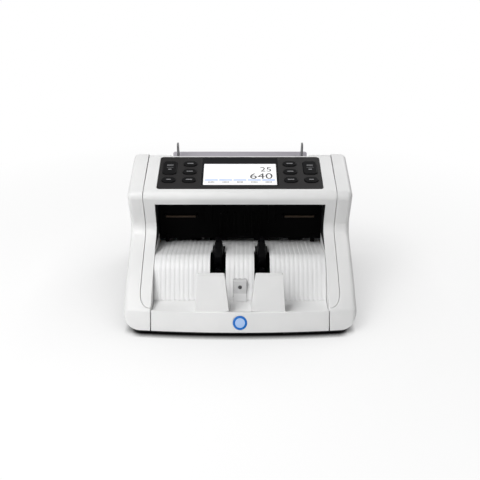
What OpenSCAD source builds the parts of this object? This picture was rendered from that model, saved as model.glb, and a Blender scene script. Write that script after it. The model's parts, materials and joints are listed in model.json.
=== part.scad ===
// Desktop banknote counter with a rear hopper and a front stacker.
// X runs to the right, Y to the back and Z up; the origin lies on the table under the middle of the machine.
// All lengths are in millimetres. Side outlines are lists of [y, z] or [y, z, corner radius].

/* [Overall size] */
// Width across the two side covers
overall_w = 297; // [289:1:312]
// Depth from the foot of the apron to the back
overall_d = 250; // [246:1:262]
// Height to the top of the note guides
overall_h = 184; // [180:1:192]

/* [Shell] */
// Thickness of the moulded walls
wall = 2.5; // [2:0.1:3]
// Width of the seams between the mouldings
seam_gap = 0.6; // [0.4:0.1:1]
// Clearance between neighbouring pieces
fit = 0.3; // [0.2:0.05:0.4]
// Width of a side cover
cover_w = 20.5; // [19:0.5:24]
// Rounding of a side cover's outer edges
cover_edge_r = 7; // [5:0.5:7.5]
// Rounding of a side cover's foot, seen from the front
cover_foot_r = 21; // [16:1:23]
// Height of the side covers above the deck at its rear edge
cover_rise = 2.2; // [1:0.2:4]
// Height of the apron's leaning face
apron_h = 24; // [21:1:27]
// Lean of the apron's face
apron_lean = 20; // [16:1:23]
// Radius of the apron's bow, seen from above
bow_r = 1300; // [1100:50:1800]
// Distance from a side cover's outside to the stacker opening
side_w = 35.5; // [33.5:0.5:38]
// Height of the nose above the table
nose_h = 148; // [145:1:151]
// Height of the lintel under the nose
lintel_h = 16.8; // [13:0.2:20]
// Rounding of the nose
nose_r = 9; // [8:0.5:11]
// Slope of the top deck
deck_tilt = 12.8; // [11.5:0.1:14]

/* [Stacker] */
// Height of the ramp's crest above the table
crest_h = 71.6; // [69:0.2:74]
// Height of the tray's floor above the table
floor_h = 24; // [21:0.5:26]
// Lean of the ramp's ribbed front
ramp_lean = 30; // [27:0.5:33]
// Fall of the ramp's top towards the back
ramp_fall = 11; // [9:0.5:12]
// Distance between two ribs of the ramp
rib_pitch = 6; // [5:0.25:8]
// Height of a rib
rib_depth = 1.4; // [0.8:0.1:1.8]
// Height of the two stops above the table
stop_h = 75; // [68:1:80]
// Width of a stop at its top edge
stop_w = 34.4; // [32:0.2:38]
// Gap between the stops at their top edges
stop_gap = 39; // [36:1:44]
// Radius of a stacker wheel over its finger tips
wheel_r = 36; // [33:0.5:36.5]
// Distance between the two stacker wheels
wheel_gap = 58; // [54:1:64]
// Number of fingers on a stacker wheel
finger_count = 8; // [6:1:10]

/* [Control panel] */
// Width of the deck between the panel and a side cover
panel_side = 17.5; // [15:0.5:20]
// Length of the panel along the deck
panel_l = 79.6; // [77:0.2:81]
// Thickness of the panel
panel_t = 2.2; // [1.8:0.1:2.6]
// Width of the key field on each side of the display window
key_field_w = 58.7; // [56.5:0.1:62]
// Length of the display window
window_l = 57.4; // [50:0.2:60]
// Width of a key
key_w = 19; // [16:0.5:20]
// Length of a small key
key_l = 13; // [11:0.5:17]
// Height of the keys above the panel
key_rise = 1; // [0.6:0.1:1.6]
// Travel of a key
key_travel = 0.6; // [0.4:0.05:0.8]

/* [Hopper] */
// Distance of the hopper plate's sides from the panel's edges
hopper_in = 13.5; // [10.5:0.5:15.5]
// Slope of the hopper plate
hopper_tilt = 66; // [63:0.5:69]
// Length of the line from the feed nip to the plate's top edge
hopper_l = 73.4; // [70:0.2:76]
// Distance of the note guides from the hopper plate's sides
guide_in = 9.2; // [6:0.2:11]
// Thickness of a note guide
guide_t = 2.4; // [2:0.1:4]
// Travel of a note guide towards the middle
guide_travel = 34; // [24:1:36]

/* [Drive] */
// Diameter of the main shafts
shaft_d = 8; // [7:0.5:9]
// Diameter of the light shafts
light_shaft_d = 6; // [5:0.5:7]
// Radius of the transport drum
drum_r = 14; // [13:0.5:15]
// Radius of the pinch rollers
pinch_r = 10; // [9:0.5:11]
// Radius of the feed rollers
feed_r = 15; // [14:0.5:16]
// Radius of the kicker rollers
kicker_r = 9.3; // [8:0.1:10]
// Radius of the retard roller
retard_r = 9; // [8:0.5:10]
// Thickness of the belts
belt_t = 1.6; // [1.2:0.1:2]
// Width of the belts
belt_w = 5; // [4:0.5:6]
// Radius of the drive motor
motor_r = 18; // [16:0.5:19]

/* [Chassis] */
// Thickness of the steel side plates
plate_t = 2; // [1.5:0.1:2.5]
// Thickness of the base plate
base_t = 2.7; // [2.2:0.1:3]
// Height of the rubber feet
foot_h = 1.8; // [1.5:0.1:2.5]

/* [Hidden] */
$fn = 48;

// Angle between two points of a rounded corner
arc_step = 9;
front_y = -overall_d / 2;
back_y = overall_d / 2;
half_w = overall_w / 2;
seam_x = half_w - cover_w;
house_x = seam_x - seam_gap;
open_x = half_w - side_w;
tray_x = open_x - seam_gap;
plate_x = open_x + wall + fit;
plate_out_x = plate_x + plate_t;
shell_z = foot_h + base_t;
tall = 2 * overall_h;
shaft_r = shaft_d / 2;
light_r = light_shaft_d / 2;
run_fit = 0.05;

// Side outline of the shell
crease_z = shell_z + apron_h;
crease_run = apron_h * tan(apron_lean);
arm_mid = [front_y + 53, crease_z + 26.5];
deck_l = 96.4;
deck_back = 45;
nose = [back_y - deck_back - deck_l, nose_h];
deck_end = [nose.x + deck_l, nose.y + deck_l * tan(deck_tilt)];
recess = [nose.x + 20.9, crease_z + 62.5];
lintel_z = nose_h - lintel_h;
lintel_y = recess.x + (nose.x - recess.x) * (lintel_z - recess.y) / (nose.y - recess.y);
soffit_z = lintel_z - 2;
inner_y = back_y - 95.2;
cheek_foot_z = crease_z + 2;
cheek_corner_r = 12;
cheek_wall_z = shell_z + 7.5;
shoulder = [back_y - 27, deck_end.y - 8];
back_corner = [back_y, shoulder.y - 52];
badge_d = 18;
badge_sunk = 0.6;
badge_t = 1;
badge_seat_t = 3;
apron_mid = [front_y + crease_run / 2, (shell_z + crease_z) / 2];

// Stacker
crest = [(front_y + inner_y) / 2, crest_h];
wrap_end_y = crest.x - 20.4;
crest_r = 9;
ramp_foot = [crest.x - (crest_h - floor_h) * tan(ramp_lean), floor_h];
ramp_l = back_y - 83 - crest.x;
ramp_end = [crest.x + ramp_l, crest.y - ramp_l * tan(ramp_fall)];
ramp_x = tray_x;
ramp_t = 2;
ramp_up = unit(crest - ramp_foot);
rib_count = 2 * floor(ramp_x / rib_pitch);
rib_w = 0.55 * rib_pitch;
leg_t = 2.5;
leg_z = shell_z + plate_t;
leg_front_y = crest.x - 8;
leg_back_y = crest.x + 16;
sensor_mid = ramp_foot + 18 * ramp_up;
sensor_w = 17.6;
sensor_l = 18;
sensor_h = 14;
sensor_proud = 5.5;
sensor_lean = 10;
sensor_out = [-cos(sensor_lean), sin(sensor_lean)];
sensor_up = [sin(sensor_lean), cos(sensor_lean)];
sensor_face = sensor_mid + sensor_proud * sensor_out;
sensor_toe_l = 5.6;
sensor_back_l = 7;
lens_d = 5;
lens_l = 3.2;
lens_sunk = 3;
wheel_axle = [crest.x + 28.6, crest.y - 21.6];
wheel_root_w = 15;
wheel_tip_w = 6;
hub_r = 13;
finger_sweep = 62;
finger_root_angle = 26;
finger_tip_angle = 5;
finger_steps = 6;
slot_w = wheel_root_w + 5.5;
slot_rear_w = wheel_root_w + 2;
collar_w = slot_w - 1.6;
collar_r = shaft_r + 3;
stop_foot = [front_y + 12, crease_z];
stop_lean = 15.5;
stop_heel_y = ramp_foot.x - 12;
stop_top_t = 4;
stop_flare_in = 6.3;
stop_flare_out = 3.8;

// Note path and drive
nip = 0.4;
drum_axle = [ramp_end.x + drum_r + 2, ramp_end.y + 2 - drum_r];
pinch_axle = [drum_axle.x, drum_axle.y + drum_r + pinch_r + nip];
hopper_dir = [cos(hopper_tilt), sin(hopper_tilt)];
hopper_out = [-sin(hopper_tilt), cos(hopper_tilt)];
hopper_foot = [back_y - 39, 96];
panel_w = 2 * (seam_x - panel_side);
hopper_w = panel_w - 2 * hopper_in;
hopper_x = hopper_w / 2;
well_x = hopper_x + fit;
roller_poke = 0.8;
kicker_s = 24;
feed_axle = hopper_foot - 4 * hopper_dir - (feed_r - roller_poke) * hopper_out;
kicker_axle = hopper_foot + kicker_s * hopper_dir - (kicker_r - roller_poke) * hopper_out;
retard_axle = feed_axle + (feed_r + retard_r + nip) * hopper_out;
nip_point = feed_axle + (feed_r + nip / 2) * hopper_out;
path_z = drum_axle.y + drum_r + nip / 2;
chute_corner = nip_point - (nip_point.y - path_z) / hopper_dir.y * hopper_dir;
chute_r = 15;
chute_gap = 1.2;
chute_t = 1.5;
throat_z = retard_axle.y + retard_r + 2.5;
guide_x = plate_x - fit;
wall_y = inner_y + fit;
guide_low_z = path_z + 8;
guide_top_z = soffit_z - fit;
rod_z = crest_h + 27;
rod_r = 1.4;
rod_axle = [wall_y - 2.8, rod_z];
rod_x = [open_x - 53, open_x - 9];
retard_w = 24;
retard_pin_r = 2;
kicker_x = 36;
kicker_w = 14;
hopper_plate_t = 2.5;
hopper_start = 6;
guide_slot_s = 30;
guide_slot_l = 6;
guide_foot_t = 2;
guide_foot_l = 4;
guide_mid = hopper_x - guide_in;
guide_top_l = 9.5;
guide_plate_s = 58;
guide_spare = 3;
drum_roller_x = [-80, -30, 30, 80];
drum_roller_w = 20;
pinch_w = 14;
feed_roller_x = [-28, 28];
feed_roller_w = 26;
motor_axle = [back_y - 29, shell_z + motor_r + 9];
front_tie = [crest.x + 7.6, shell_z + 9.5];
upper_tie = retard_axle + [-15, 19];
rear_tie = [back_y - 13, shell_z + 56];
tie_r = 3;
ties = [front_tie, upper_tie, rear_tie];
bearing_r = shaft_r + 2.5;
bearing_flange = 1.2;
lane_w = belt_w + 1;
flange_t = 1;
flange_h = belt_t + 0.6;
lane_1 = plate_out_x + bearing_flange + fit + flange_t;
lane_2 = lane_1 + lane_w + 2 * flange_t + 0.5;
shaft_end_x = lane_2 + lane_w + flange_t + 1;
motor_pulley_r = 7;
drum_pulley_r = 10;
drum_stack_r = 7;
stack_pulley_r = 14;
drum_feed_r = 8;
feed_pulley_r = 10;
feed_kick_r = 7;
kick_pulley_r = 6;

// Control panel
panel_run = panel_l * cos(deck_tilt);
panel_set = 0.74 * (deck_l - panel_run);
panel_start = [nose.x + panel_set, nose.y + panel_set * tan(deck_tilt)];
panel_corner_r = 4;
panel_ledge = 3;
ledge_t = 1.5;
window_mid = panel_l / 2 - 4.9;
window_w = panel_w - 2 * key_field_w;
window_t = 1.6;
key_pitch = 20;
key_row = 21.3;
key_outer_x = panel_w / 2 - 14.5;
key_inner_x = key_outer_x - 27.5;
large_key_l = key_pitch + key_l;
large_key_r = 5;
key_r = key_l / 2 - 0.4;
key_flange = 0.8;
key_flange_t = 1;
board_drop = panel_t + 6.8;
board_t = 1.6;
switch_h = 3.5;
plunger_h = 0.5;
key_places = [
    [key_outer_x, key_row + 1.5 * key_pitch, large_key_l, large_key_r],
    [key_outer_x, key_row, key_l, key_r],
    [key_inner_x, key_row, key_l, key_r],
    [key_inner_x, key_row + key_pitch, key_l, key_r],
    [key_inner_x, key_row + 2 * key_pitch, key_l, key_r]
];
panel_posts = [for (s = [-1, 1]) for (v = [7, panel_l - 7]) [s * (key_outer_x + key_inner_x) / 2, v]];
panel_post_r = 1.8;

// Rear fittings
inlet_x = -72;
switch_x = -38;
fitting_z = shell_z + 26;
inlet_w = 30;
inlet_h = 22;
bezel_w = 15;
bezel_h = 21;
fitting_depth = 24;
socket_w = 24.5;
socket_h = 17;
socket_d = 15;
blade_l = 14;
bezel_depth = 14;
bezel_rim = 2;
rocker_axle = [back_y - 5.5, fitting_z];
rocker_pin_r = 1.2;
rocker_w = 10.8;
rocker_tilt = 8;

// Base and boards
base_x = half_w - 14.5;
base_inset = 2;
foot_r = 9;
peg_r = 2.5;
foot_places = [for (s = [-1, 1]) for (y = [front_y + 24, back_y - 20]) [s * (base_x - 18), y]];
post_h = 4;
post_r = 3;
main_post_x = open_x - 21;
main_post_y = [back_y - 126, back_y - 78];
power_post_x = [13 - open_x, -14];
power_post_y = [back_y - 62, back_y - 32];
post_rim = 6;
posts = concat(
    [for (s = [-1, 1]) for (y = main_post_y) [s * main_post_x, y]],
    [for (x = power_post_x) for (y = power_post_y) [x, y]]
);
screw_r = 1.5;
screw_head_r = 3;
screw_head_t = 1.1;
screw_places = [for (s = [-1, 1]) for (y = [crest.x + 18, back_y - 45]) [s * (plate_x - 4), y]];
flange_w = 12;
plate_back_y = back_y - 5;

// Vector helpers
function unit(v) = v / norm(v);
function turned(v, a) = [v.x * cos(a) - v.y * sin(a), v.x * sin(a) + v.y * cos(a)];
function flat(p) = [p.x, p.y];
function reversed(list) = [for (i = [len(list) - 1:-1:0]) list[i]];
function left_of(a, b) = turned(unit(b - a), 90);

// Points of one rounded corner b between a and c
function fillet(a, b, c, r) =
    r == undef || r <= 0 ? [flat(b)] :
    let (
        u = unit(flat(a) - flat(b)),
        v = unit(flat(c) - flat(b)),
        half = acos(max(-1, min(1, u * v))) / 2,
        turn = 180 - 2 * half
    )
    turn < 1 ? [flat(b)] :
    let (
        mid = flat(b) + unit(u + v) * r / sin(half),
        first = flat(b) + u * r / tan(half) - mid,
        side = u.x * v.y - u.y * v.x > 0 ? -1 : 1,
        steps = max(1, ceil(turn / arc_step))
    )
    [for (k = [0:steps]) mid + turned(first, side * turn * k / steps)];

// Open path and closed loop with rounded corners
function rounded_path(c) = [
    flat(c[0]),
    for (i = [1:len(c) - 2]) each fillet(c[i - 1], c[i], c[i + 1], c[i].z),
    flat(c[len(c) - 1])
];
function rounded_loop(c) = [
    for (i = [0:len(c) - 1])
        each fillet(c[(i + len(c) - 1) % len(c)], c[i], c[(i + 1) % len(c)], c[i].z)
];

// A path moved to its left by t, and a loop moved the same way
function mitre(n0, n1, t) = (n0 + n1) * t / (1 + n0 * n1);
function shifted_path(p, t) = [
    for (i = [0:len(p) - 1])
        let (
            n0 = left_of(p[max(i - 1, 0)], p[max(i, 1)]),
            n1 = left_of(p[min(i, len(p) - 2)], p[min(i + 1, len(p) - 1)])
        )
        p[i] + mitre(n0, n1, t)
];
function shifted_loop(p, t) = [
    for (i = [0:len(p) - 1])
        let (
            before = p[(i + len(p) - 1) % len(p)],
            after = p[(i + 1) % len(p)]
        )
        p[i] + mitre(left_of(before, p[i]), left_of(p[i], after), t)
];
function strip(p, t, start = 0) = concat(shifted_path(p, start), reversed(shifted_path(p, start + t)));

// Backward set of the front at x from the bow, full at the crease and none at the recess
function bow(x) = bow_r - sqrt(bow_r * bow_r - x * x);
function bowed(p, x) = [p.x + bow(x) * max(0, min(1, (recess.y - p.y) / (recess.y - crease_z))), p.y, p.z];

// Corners of the arm's front from its foot to the nose at distance x from the middle
function front_corners(x) = [
    bowed([front_y, shell_z, 0], x),
    bowed([front_y + crease_run, crease_z, 8], x),
    bowed([arm_mid.x, arm_mid.y, 200], x),
    [recess.x, recess.y, 14],
    [nose.x, nose.y, nose_r]
];

// Closed side outline of a cover at distance x from the middle
function deck_z(y) = nose.y + (y - nose.x) * tan(deck_tilt);
function cover_loop(x) = rounded_loop(concat(front_corners(x), [
    [nose.x + 50, deck_z(nose.x + 50) + cover_rise - 0.2, 200],
    [deck_end.x, deck_end.y + cover_rise, 12],
    [shoulder.x, shoulder.y, 25],
    [back_corner.x, back_corner.y, 25],
    [back_y, shell_z, 8]
]));

// Placing helpers
module along_x(x0, x1) {
    translate([x0, 0, 0]) rotate([90, 0, 90]) linear_extrude(x1 - x0) children();
}
module along_y(y0, y1) {
    translate([0, y1, 0]) rotate([90, 0, 0]) linear_extrude(y1 - y0) children();
}
module both_sides() {
    children();
    mirror([1, 0, 0]) children();
}
module rod(axle, x0, x1, r) {
    translate([x0, axle.x, axle.y]) rotate([0, 90, 0]) cylinder(h = x1 - x0, r = r);
}
module on_deck() {
    translate([0, panel_start.x, panel_start.y]) rotate([deck_tilt, 0, 0]) children();
}
module on_hopper() {
    translate([0, hopper_foot.x, hopper_foot.y]) rotate([hopper_tilt, 0, 0]) children();
}
module rounded_slab(w, l, z0, z1, r) {
    translate([0, 0, z0]) linear_extrude(z1 - z0) polygon(rounded_loop([
        [-w / 2, -l / 2, r], [w / 2, -l / 2, r], [w / 2, l / 2, r], [-w / 2, l / 2, r]
    ]));
}

// Solid of one side: side outlines carried across x, with the outer edges rounded
module cover_block() {
    inner_x = open_x + seam_gap;
    flat_x = half_w - cover_edge_r;
    rings = concat(
        [for (x = [inner_x, (inner_x + flat_x) / 2, flat_x]) [x, 0]],
        [for (a = [22.5:22.5:90]) [flat_x + cover_edge_r * sin(a), cover_edge_r * (1 - cos(a))]]
    );
    loops = [for (g = rings) shifted_loop(cover_loop(g[0]), -g[1])];
    n = len(loops[0]);
    last = len(rings) - 1;
    hub = recess + [55, 9];
    points = concat(
        [for (k = [0:last]) for (p = loops[k]) [rings[k][0], p.x, p.y]],
        [for (k = [0, last]) [rings[k][0], hub.x, hub.y]]
    );
    inner_hub = (last + 1) * n;
    sides = [
        for (k = [0:last - 1])
            for (i = [0:n - 1])
                let (a = k * n + i, b = k * n + (i + 1) % n)
                each [[a, b, b + n], [a, b + n, a + n]]
    ];
    caps = [
        for (i = [0:n - 1])
            let (j = (i + 1) % n)
            each [[inner_hub, j, i], [inner_hub + 1, last * n + i, last * n + j]]
    ];
    polyhedron(points, concat(sides, caps));
}
module foot_outline(inset) {
    polygon(rounded_loop([
        [-half_w, shell_z + inset, 0],
        [half_w - inset, shell_z + inset, cover_foot_r - inset],
        [half_w - inset, tall, 0],
        [-half_w, tall, 0]
    ]));
}
module foot_corner() {
    spare = 5;
    arc_x = half_w + run_fit;
    arc = fillet([0, shell_z], [arc_x, shell_z], [arc_x, tall], cover_foot_r);
    polygon(concat(arc, [
        [arc_x + spare, shell_z + cover_foot_r],
        [arc_x + spare, shell_z - spare],
        [arc_x - cover_foot_r, shell_z - spare]
    ]));
}
module cheek_outline(gap) {
    polygon(rounded_loop([
        [-half_w, cheek_foot_z - gap, 0],
        [house_x + gap, cheek_foot_z - gap, cheek_corner_r + gap],
        [house_x + gap, tall, 0],
        [-half_w, tall, 0]
    ]));
}
module cover_cavity() {
    hollow = cover_loop(seam_x);
    step = 2.2;
    intersection() {
        union() {
            along_x(0, half_w - cover_edge_r) polygon(shifted_loop(hollow, -wall));
            along_x(0, half_w - wall) polygon(shifted_loop(hollow, -wall - step));
        }
        along_y(front_y - 1, back_y + 1) foot_outline(wall);
    }
}
module side_cover() {
    difference() {
        cover_block();
        along_y(front_y - 1, back_y + 1) foot_corner();
        cover_cavity();
        along_y(front_y - 1, back_y + 1) cheek_outline(seam_gap);
        translate([0, wrap_end_y, 0]) cube([seam_x, overall_d, tall]);
    }
}
module right_side_cover() {
    color("whitesmoke") side_cover();
}
module left_side_cover() {
    color("whitesmoke") mirror([1, 0, 0]) side_cover();
}

// Lintel, deck, cheeks and the walls beside the stacker opening
function roof_path() = rounded_path([
    [inner_y, soffit_z],
    [lintel_y, lintel_z, wall + 0.5],
    [nose.x, nose.y, nose_r],
    [deck_end.x, deck_end.y, wall + 0.5],
    [deck_end.x - 4, throat_z]
]);
function cheek_path() =
    let (
        c = front_corners(seam_x),
        foot = c[1] + (c[2] - c[1]) * (cheek_foot_z - c[1].y) / (c[2].y - c[1].y)
    )
    rounded_path([foot, c[2], c[3], [lintel_y, lintel_z] + 3 * unit(nose - recess)]);
// Line behind the skin of the cover's foot, and its point at height z
function skin_path() = shifted_path([for (c = front_corners(seam_x)) flat(c)], -wall - seam_gap);
function behind_skin(z) =
    let (p = skin_path(), k = z < p[1].y ? 0 : 1)
    p[k] + (p[k + 1] - p[k]) * (z - p[k].y) / (p[k + 1].y - p[k].y);
module cheek_wall_outline() {
    difference() {
        polygon(concat(cheek_path(), [
            [inner_y, soffit_z],
            [inner_y, cheek_wall_z],
            behind_skin(cheek_wall_z),
            skin_path()[1],
            behind_skin(cheek_foot_z)
        ]));
        translate(wheel_axle) circle(bearing_r + fit);
        translate(front_tie) circle(tie_r + fit);
    }
}
module deck_cut() {
    on_deck() translate([0, panel_l / 2, 0]) {
        rounded_slab(panel_w + 2 * fit, panel_l + 2 * fit, -panel_t, 10, panel_corner_r + fit);
        rounded_slab(panel_w - 2 * panel_ledge, panel_l - 2 * panel_ledge, -20, 10, panel_corner_r);
    }
}
module deck_ledge() {
    w = panel_w + 4 * panel_ledge;
    l = panel_l + panel_ledge;
    on_deck() translate([0, panel_l / 2, 0])
        rounded_slab(w, l, -panel_t - ledge_t, -wall / 2, panel_corner_r);
}
module upper_housing() {
    color("whitesmoke") difference() {
        union() {
            along_x(-house_x, house_x) polygon(strip(roof_path(), -wall));
            deck_ledge();
            both_sides() {
                intersection() {
                    along_x(open_x, house_x) polygon(strip(cheek_path(), -wall));
                    along_y(front_y, back_y) cheek_outline(0);
                }
                along_x(open_x, open_x + wall) cheek_wall_outline();
            }
        }
        deck_cut();
    }
}

// Back wall, shoulders beside the hopper and the hopper's side walls
function back_path() = rounded_path([
    [back_y, shell_z],
    [back_corner.x, back_corner.y, 25],
    [shoulder.x, shoulder.y, 25],
    [deck_end.x + seam_gap, deck_end.y]
]);
module hopper_void() {
    behind = hopper_plate_t + fit;
    along_x(-well_x, well_x) polygon([
        hopper_foot - behind * hopper_out - tall * hopper_dir,
        hopper_foot - behind * hopper_out + 2 * hopper_l * hopper_dir,
        hopper_foot + overall_d * hopper_out + 2 * hopper_l * hopper_dir,
        hopper_foot + overall_d * hopper_out - tall * hopper_dir
    ]);
}
module rear_cover() {
    well_z = hopper_foot.y - 1;
    color("whitesmoke") difference() {
        union() {
            along_x(-house_x, house_x) polygon(strip(back_path(), wall));
            both_sides() along_x(well_x, well_x + wall) intersection() {
                polygon(concat(back_path(), [[deck_end.x + seam_gap, shell_z]]));
                translate([deck_end.x + seam_gap, well_z]) square([overall_d, overall_h]);
            }
        }
        hopper_void();
        both_sides() rod(kicker_axle, 0, half_w, light_r + 1.5);
        translate([inlet_x, back_y, fitting_z])
            cube([inlet_w + 2 * fit, 4 * wall, inlet_h + 2 * fit], center = true);
        translate([switch_x, back_y, fitting_z])
            cube([bezel_w + 2 * fit, 4 * wall, bezel_h + 2 * fit], center = true);
    }
}

// Apron, floor and the two upright stops
module bowed_apron() {
    centre_y = front_y + bow_r;
    outline = [
        [bow_r - wall - 1, shell_z],
        [bow_r, shell_z],
        [bow_r - crease_run, crease_z],
        [bow_r - crease_run - 3, crease_z],
        [bow_r - crease_run - 7, floor_h],
        [bow_r - crease_run - 9, floor_h - wall],
        [bow_r - crease_run - 4, floor_h - wall]
    ];
    spread = 2 * asin(open_x / (bow_r - 20)) + 1;
    intersection() {
        translate([0, centre_y, 0]) rotate([0, 0, -90 - spread / 2])
            rotate_extrude(angle = spread, $fn = 360) polygon(outline);
        translate([-tray_x, front_y - 1, 0]) cube([2 * tray_x, 60, overall_h]);
    }
}
module stop() {
    inner_x = stop_gap / 2;
    outer_x = inner_x + stop_w;
    low_z = floor_h - wall;
    top = [stop_foot.x + (stop_h - crease_z) * tan(stop_lean), stop_h];
    intersection() {
        along_x(0, half_w) polygon(rounded_loop([
            [stop_foot.x, stop_foot.y],
            [top.x, top.y, 1.5],
            [top.x + stop_top_t, top.y, 1.5],
            [stop_heel_y, floor_h],
            [stop_heel_y, low_z],
            [stop_foot.x, low_z]
        ]));
        along_y(front_y, ramp_foot.x) polygon(rounded_loop([
            [inner_x - stop_flare_in, low_z],
            [inner_x, stop_h, 2],
            [outer_x, stop_h, 2],
            [outer_x + stop_flare_out, low_z]
        ]));
    }
}
module stacker_tray() {
    floor_y = front_y + crease_run + 8.5;
    color("whitesmoke") difference() {
        union() {
            bowed_apron();
            translate([-tray_x, floor_y, floor_h - wall])
                cube([2 * tray_x, ramp_foot.x + 8 - floor_y, wall]);
            both_sides() stop();
            on_apron() translate([0, 0, -badge_seat_t]) cylinder(h = badge_seat_t - 0.5, d = badge_d + 4);
        }
        on_apron() translate([0, 0, -badge_sunk]) cylinder(h = 10, d = badge_d + 2 * fit);
    }
}
module on_apron() {
    translate([0, apron_mid.x, apron_mid.y]) rotate([90 - apron_lean, 0, 0]) children();
}
module blank_badge() {
    color("royalblue") on_apron() translate([0, 0, -badge_sunk]) union() {
        cylinder(h = badge_t - 0.3, d = badge_d);
        cylinder(h = badge_t, d = badge_d - 2);
    }
}

// Ribbed ramp: a skin with ribs that run up the front, round the crest and along the top
function ramp_path() = rounded_path([ramp_foot - 4 * ramp_up, [crest.x, crest.y, crest_r], ramp_end]);
module ramp_skin() {
    along_x(-ramp_x, ramp_x) polygon(strip(ramp_path(), -ramp_t));
    rib = strip(ramp_path(), rib_depth + ramp_t / 2, -ramp_t / 2);
    for (i = [0:rib_count - 1])
        let (x = (i - (rib_count - 1) / 2) * rib_pitch)
        along_x(x - rib_w / 2, x + rib_w / 2) polygon(rib);
}
module wheel_slots() {
    front = wheel_axle.x - wheel_r - 24;
    ear_y = wheel_axle.x + 6;
    rear = wheel_axle.x + wheel_r + 3;
    low = wheel_axle.y - 14;
    for (side = [-1, 1]) translate([side * wheel_gap / 2, 0, low]) {
        translate([-slot_w / 2, front, 0]) cube([slot_w, ear_y - front, overall_h]);
        translate([-slot_rear_w / 2, ear_y - 1, 0]) cube([slot_rear_w, rear - ear_y + 1, overall_h]);
    }
}
module on_sensor() {
    translate([0, sensor_mid.x, sensor_mid.y]) rotate([90 - sensor_lean, 0, 0])
        translate([0, 0, sensor_proud]) children();
}
module stacker_ramp() {
    color("gainsboro") difference() {
        union() {
            ramp_skin();
            both_sides() along_x(ramp_x - leg_t, ramp_x) difference() {
                polygon([
                    ramp_foot + [ramp_t, 0],
                    crest + [0, -ramp_t] - 12 * ramp_up,
                    crest + [9, -4.5],
                    ramp_end + [0, -ramp_t / 2],
                    ramp_end + [0, -8],
                    [leg_back_y, crest.y - 30],
                    [leg_back_y, leg_z],
                    [leg_front_y, leg_z],
                    [leg_front_y, floor_h]
                ]);
                translate(front_tie) circle(tie_r + fit);
                translate(wheel_axle) circle(shaft_r + 1.5);
            }
        }
        wheel_slots();
        along_x(-sensor_w / 2 - fit, sensor_w / 2 + fit) polygon(shifted_loop(sensor_outline(), -fit));
        translate([-half_w, front_y, 0]) cube([overall_w, leg_front_y - front_y, floor_h]);
        translate([-ramp_x + leg_t, front_y, 0]) cube([2 * (ramp_x - leg_t), overall_d, floor_h]);
    }
}
// Sensor block in the ramp's window, with a sloping toe on the tray's floor
function sensor_outline() = [
    sensor_face + sensor_l / 2 * sensor_up,
    sensor_face - sensor_l / 2 * sensor_up,
    [ramp_foot.x - sensor_toe_l, floor_h + fit],
    [ramp_foot.x + sensor_back_l, floor_h + fit],
    sensor_face + sensor_l / 2 * sensor_up - sensor_h * sensor_out
];
module stack_sensor() {
    color("gainsboro") difference() {
        along_x(-sensor_w / 2, sensor_w / 2) polygon(sensor_outline());
        on_sensor() translate([0, 0, -lens_sunk]) cylinder(h = sensor_h, d = lens_d + 2 * run_fit);
    }
}
module stack_sensor_lens() {
    color("black") on_sensor() translate([0, 0, -lens_sunk]) cylinder(h = lens_l, d = lens_d);
}

// Control panel, window, board and keys
module control_panel() {
    color("dimgray") on_deck() {
        difference() {
            translate([0, panel_l / 2, 0]) rounded_slab(panel_w, panel_l, -panel_t, 0, panel_corner_r);
            translate([0, window_mid, 0])
                rounded_slab(window_w + 2 * fit, window_l + 2 * fit, -panel_t - 1, 1, 1.5);
            for (s = [-1, 1]) for (k = key_places) translate([s * k[0], k[1], 0])
                rounded_slab(key_w + 2 * fit, k[2] + 2 * fit, -panel_t - 1, 1, k[3] + fit);
        }
        for (p = panel_posts) translate([p.x, p.y, -board_drop])
            cylinder(h = board_drop - panel_t / 2, r = panel_post_r);
    }
}
module display_window() {
    color("white") on_deck() translate([0, window_mid, 0])
        rounded_slab(window_w, window_l, -window_t, -0.1, 1.2);
}
module display_board() {
    switch_w = 6;
    board_w = panel_w - 4 * panel_ledge;
    board_l = panel_l - 3 * panel_ledge;
    color("darkgreen") on_deck() {
        translate([0, panel_l / 2, 0])
            rounded_slab(board_w, board_l, -board_drop - board_t, -board_drop, 1);
        translate([0, window_mid, 0])
            rounded_slab(window_w - 2, window_l - 2, -board_drop - 0.1, -window_t, 1);
        for (s = [-1, 1]) for (k = key_places) translate([s * k[0], k[1], -board_drop]) {
            translate([-switch_w / 2, -switch_w / 2, -0.1]) cube([switch_w, switch_w, switch_h + 0.1]);
            cylinder(h = switch_h + plunger_h, r = 1.5);
        }
    }
}
module key(side, k) {
    gap = 0.2;
    stem_z = -board_drop + switch_h + plunger_h + key_travel + gap;
    color("black") on_deck() translate([side * k[0], k[1], 0]) {
        rounded_slab(key_w, k[2], -panel_t - fit - key_flange_t, key_rise, k[3]);
        rounded_slab(key_w + 2 * key_flange, k[2] + 2 * key_flange, -panel_t - fit - key_flange_t,
            -panel_t - fit, k[3] + key_flange);
        translate([0, 0, stem_z]) cylinder(h = -panel_t - fit - stem_z, r = 2);
    }
}
module left_large_key() { key(-1, key_places[0]); }
module left_corner_key() { key(-1, key_places[1]); }
module left_front_key() { key(-1, key_places[2]); }
module left_middle_key() { key(-1, key_places[3]); }
module left_rear_key() { key(-1, key_places[4]); }
module right_large_key() { key(1, key_places[0]); }
module right_corner_key() { key(1, key_places[1]); }
module right_front_key() { key(1, key_places[2]); }
module right_middle_key() { key(1, key_places[3]); }
module right_rear_key() { key(1, key_places[4]); }

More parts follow.
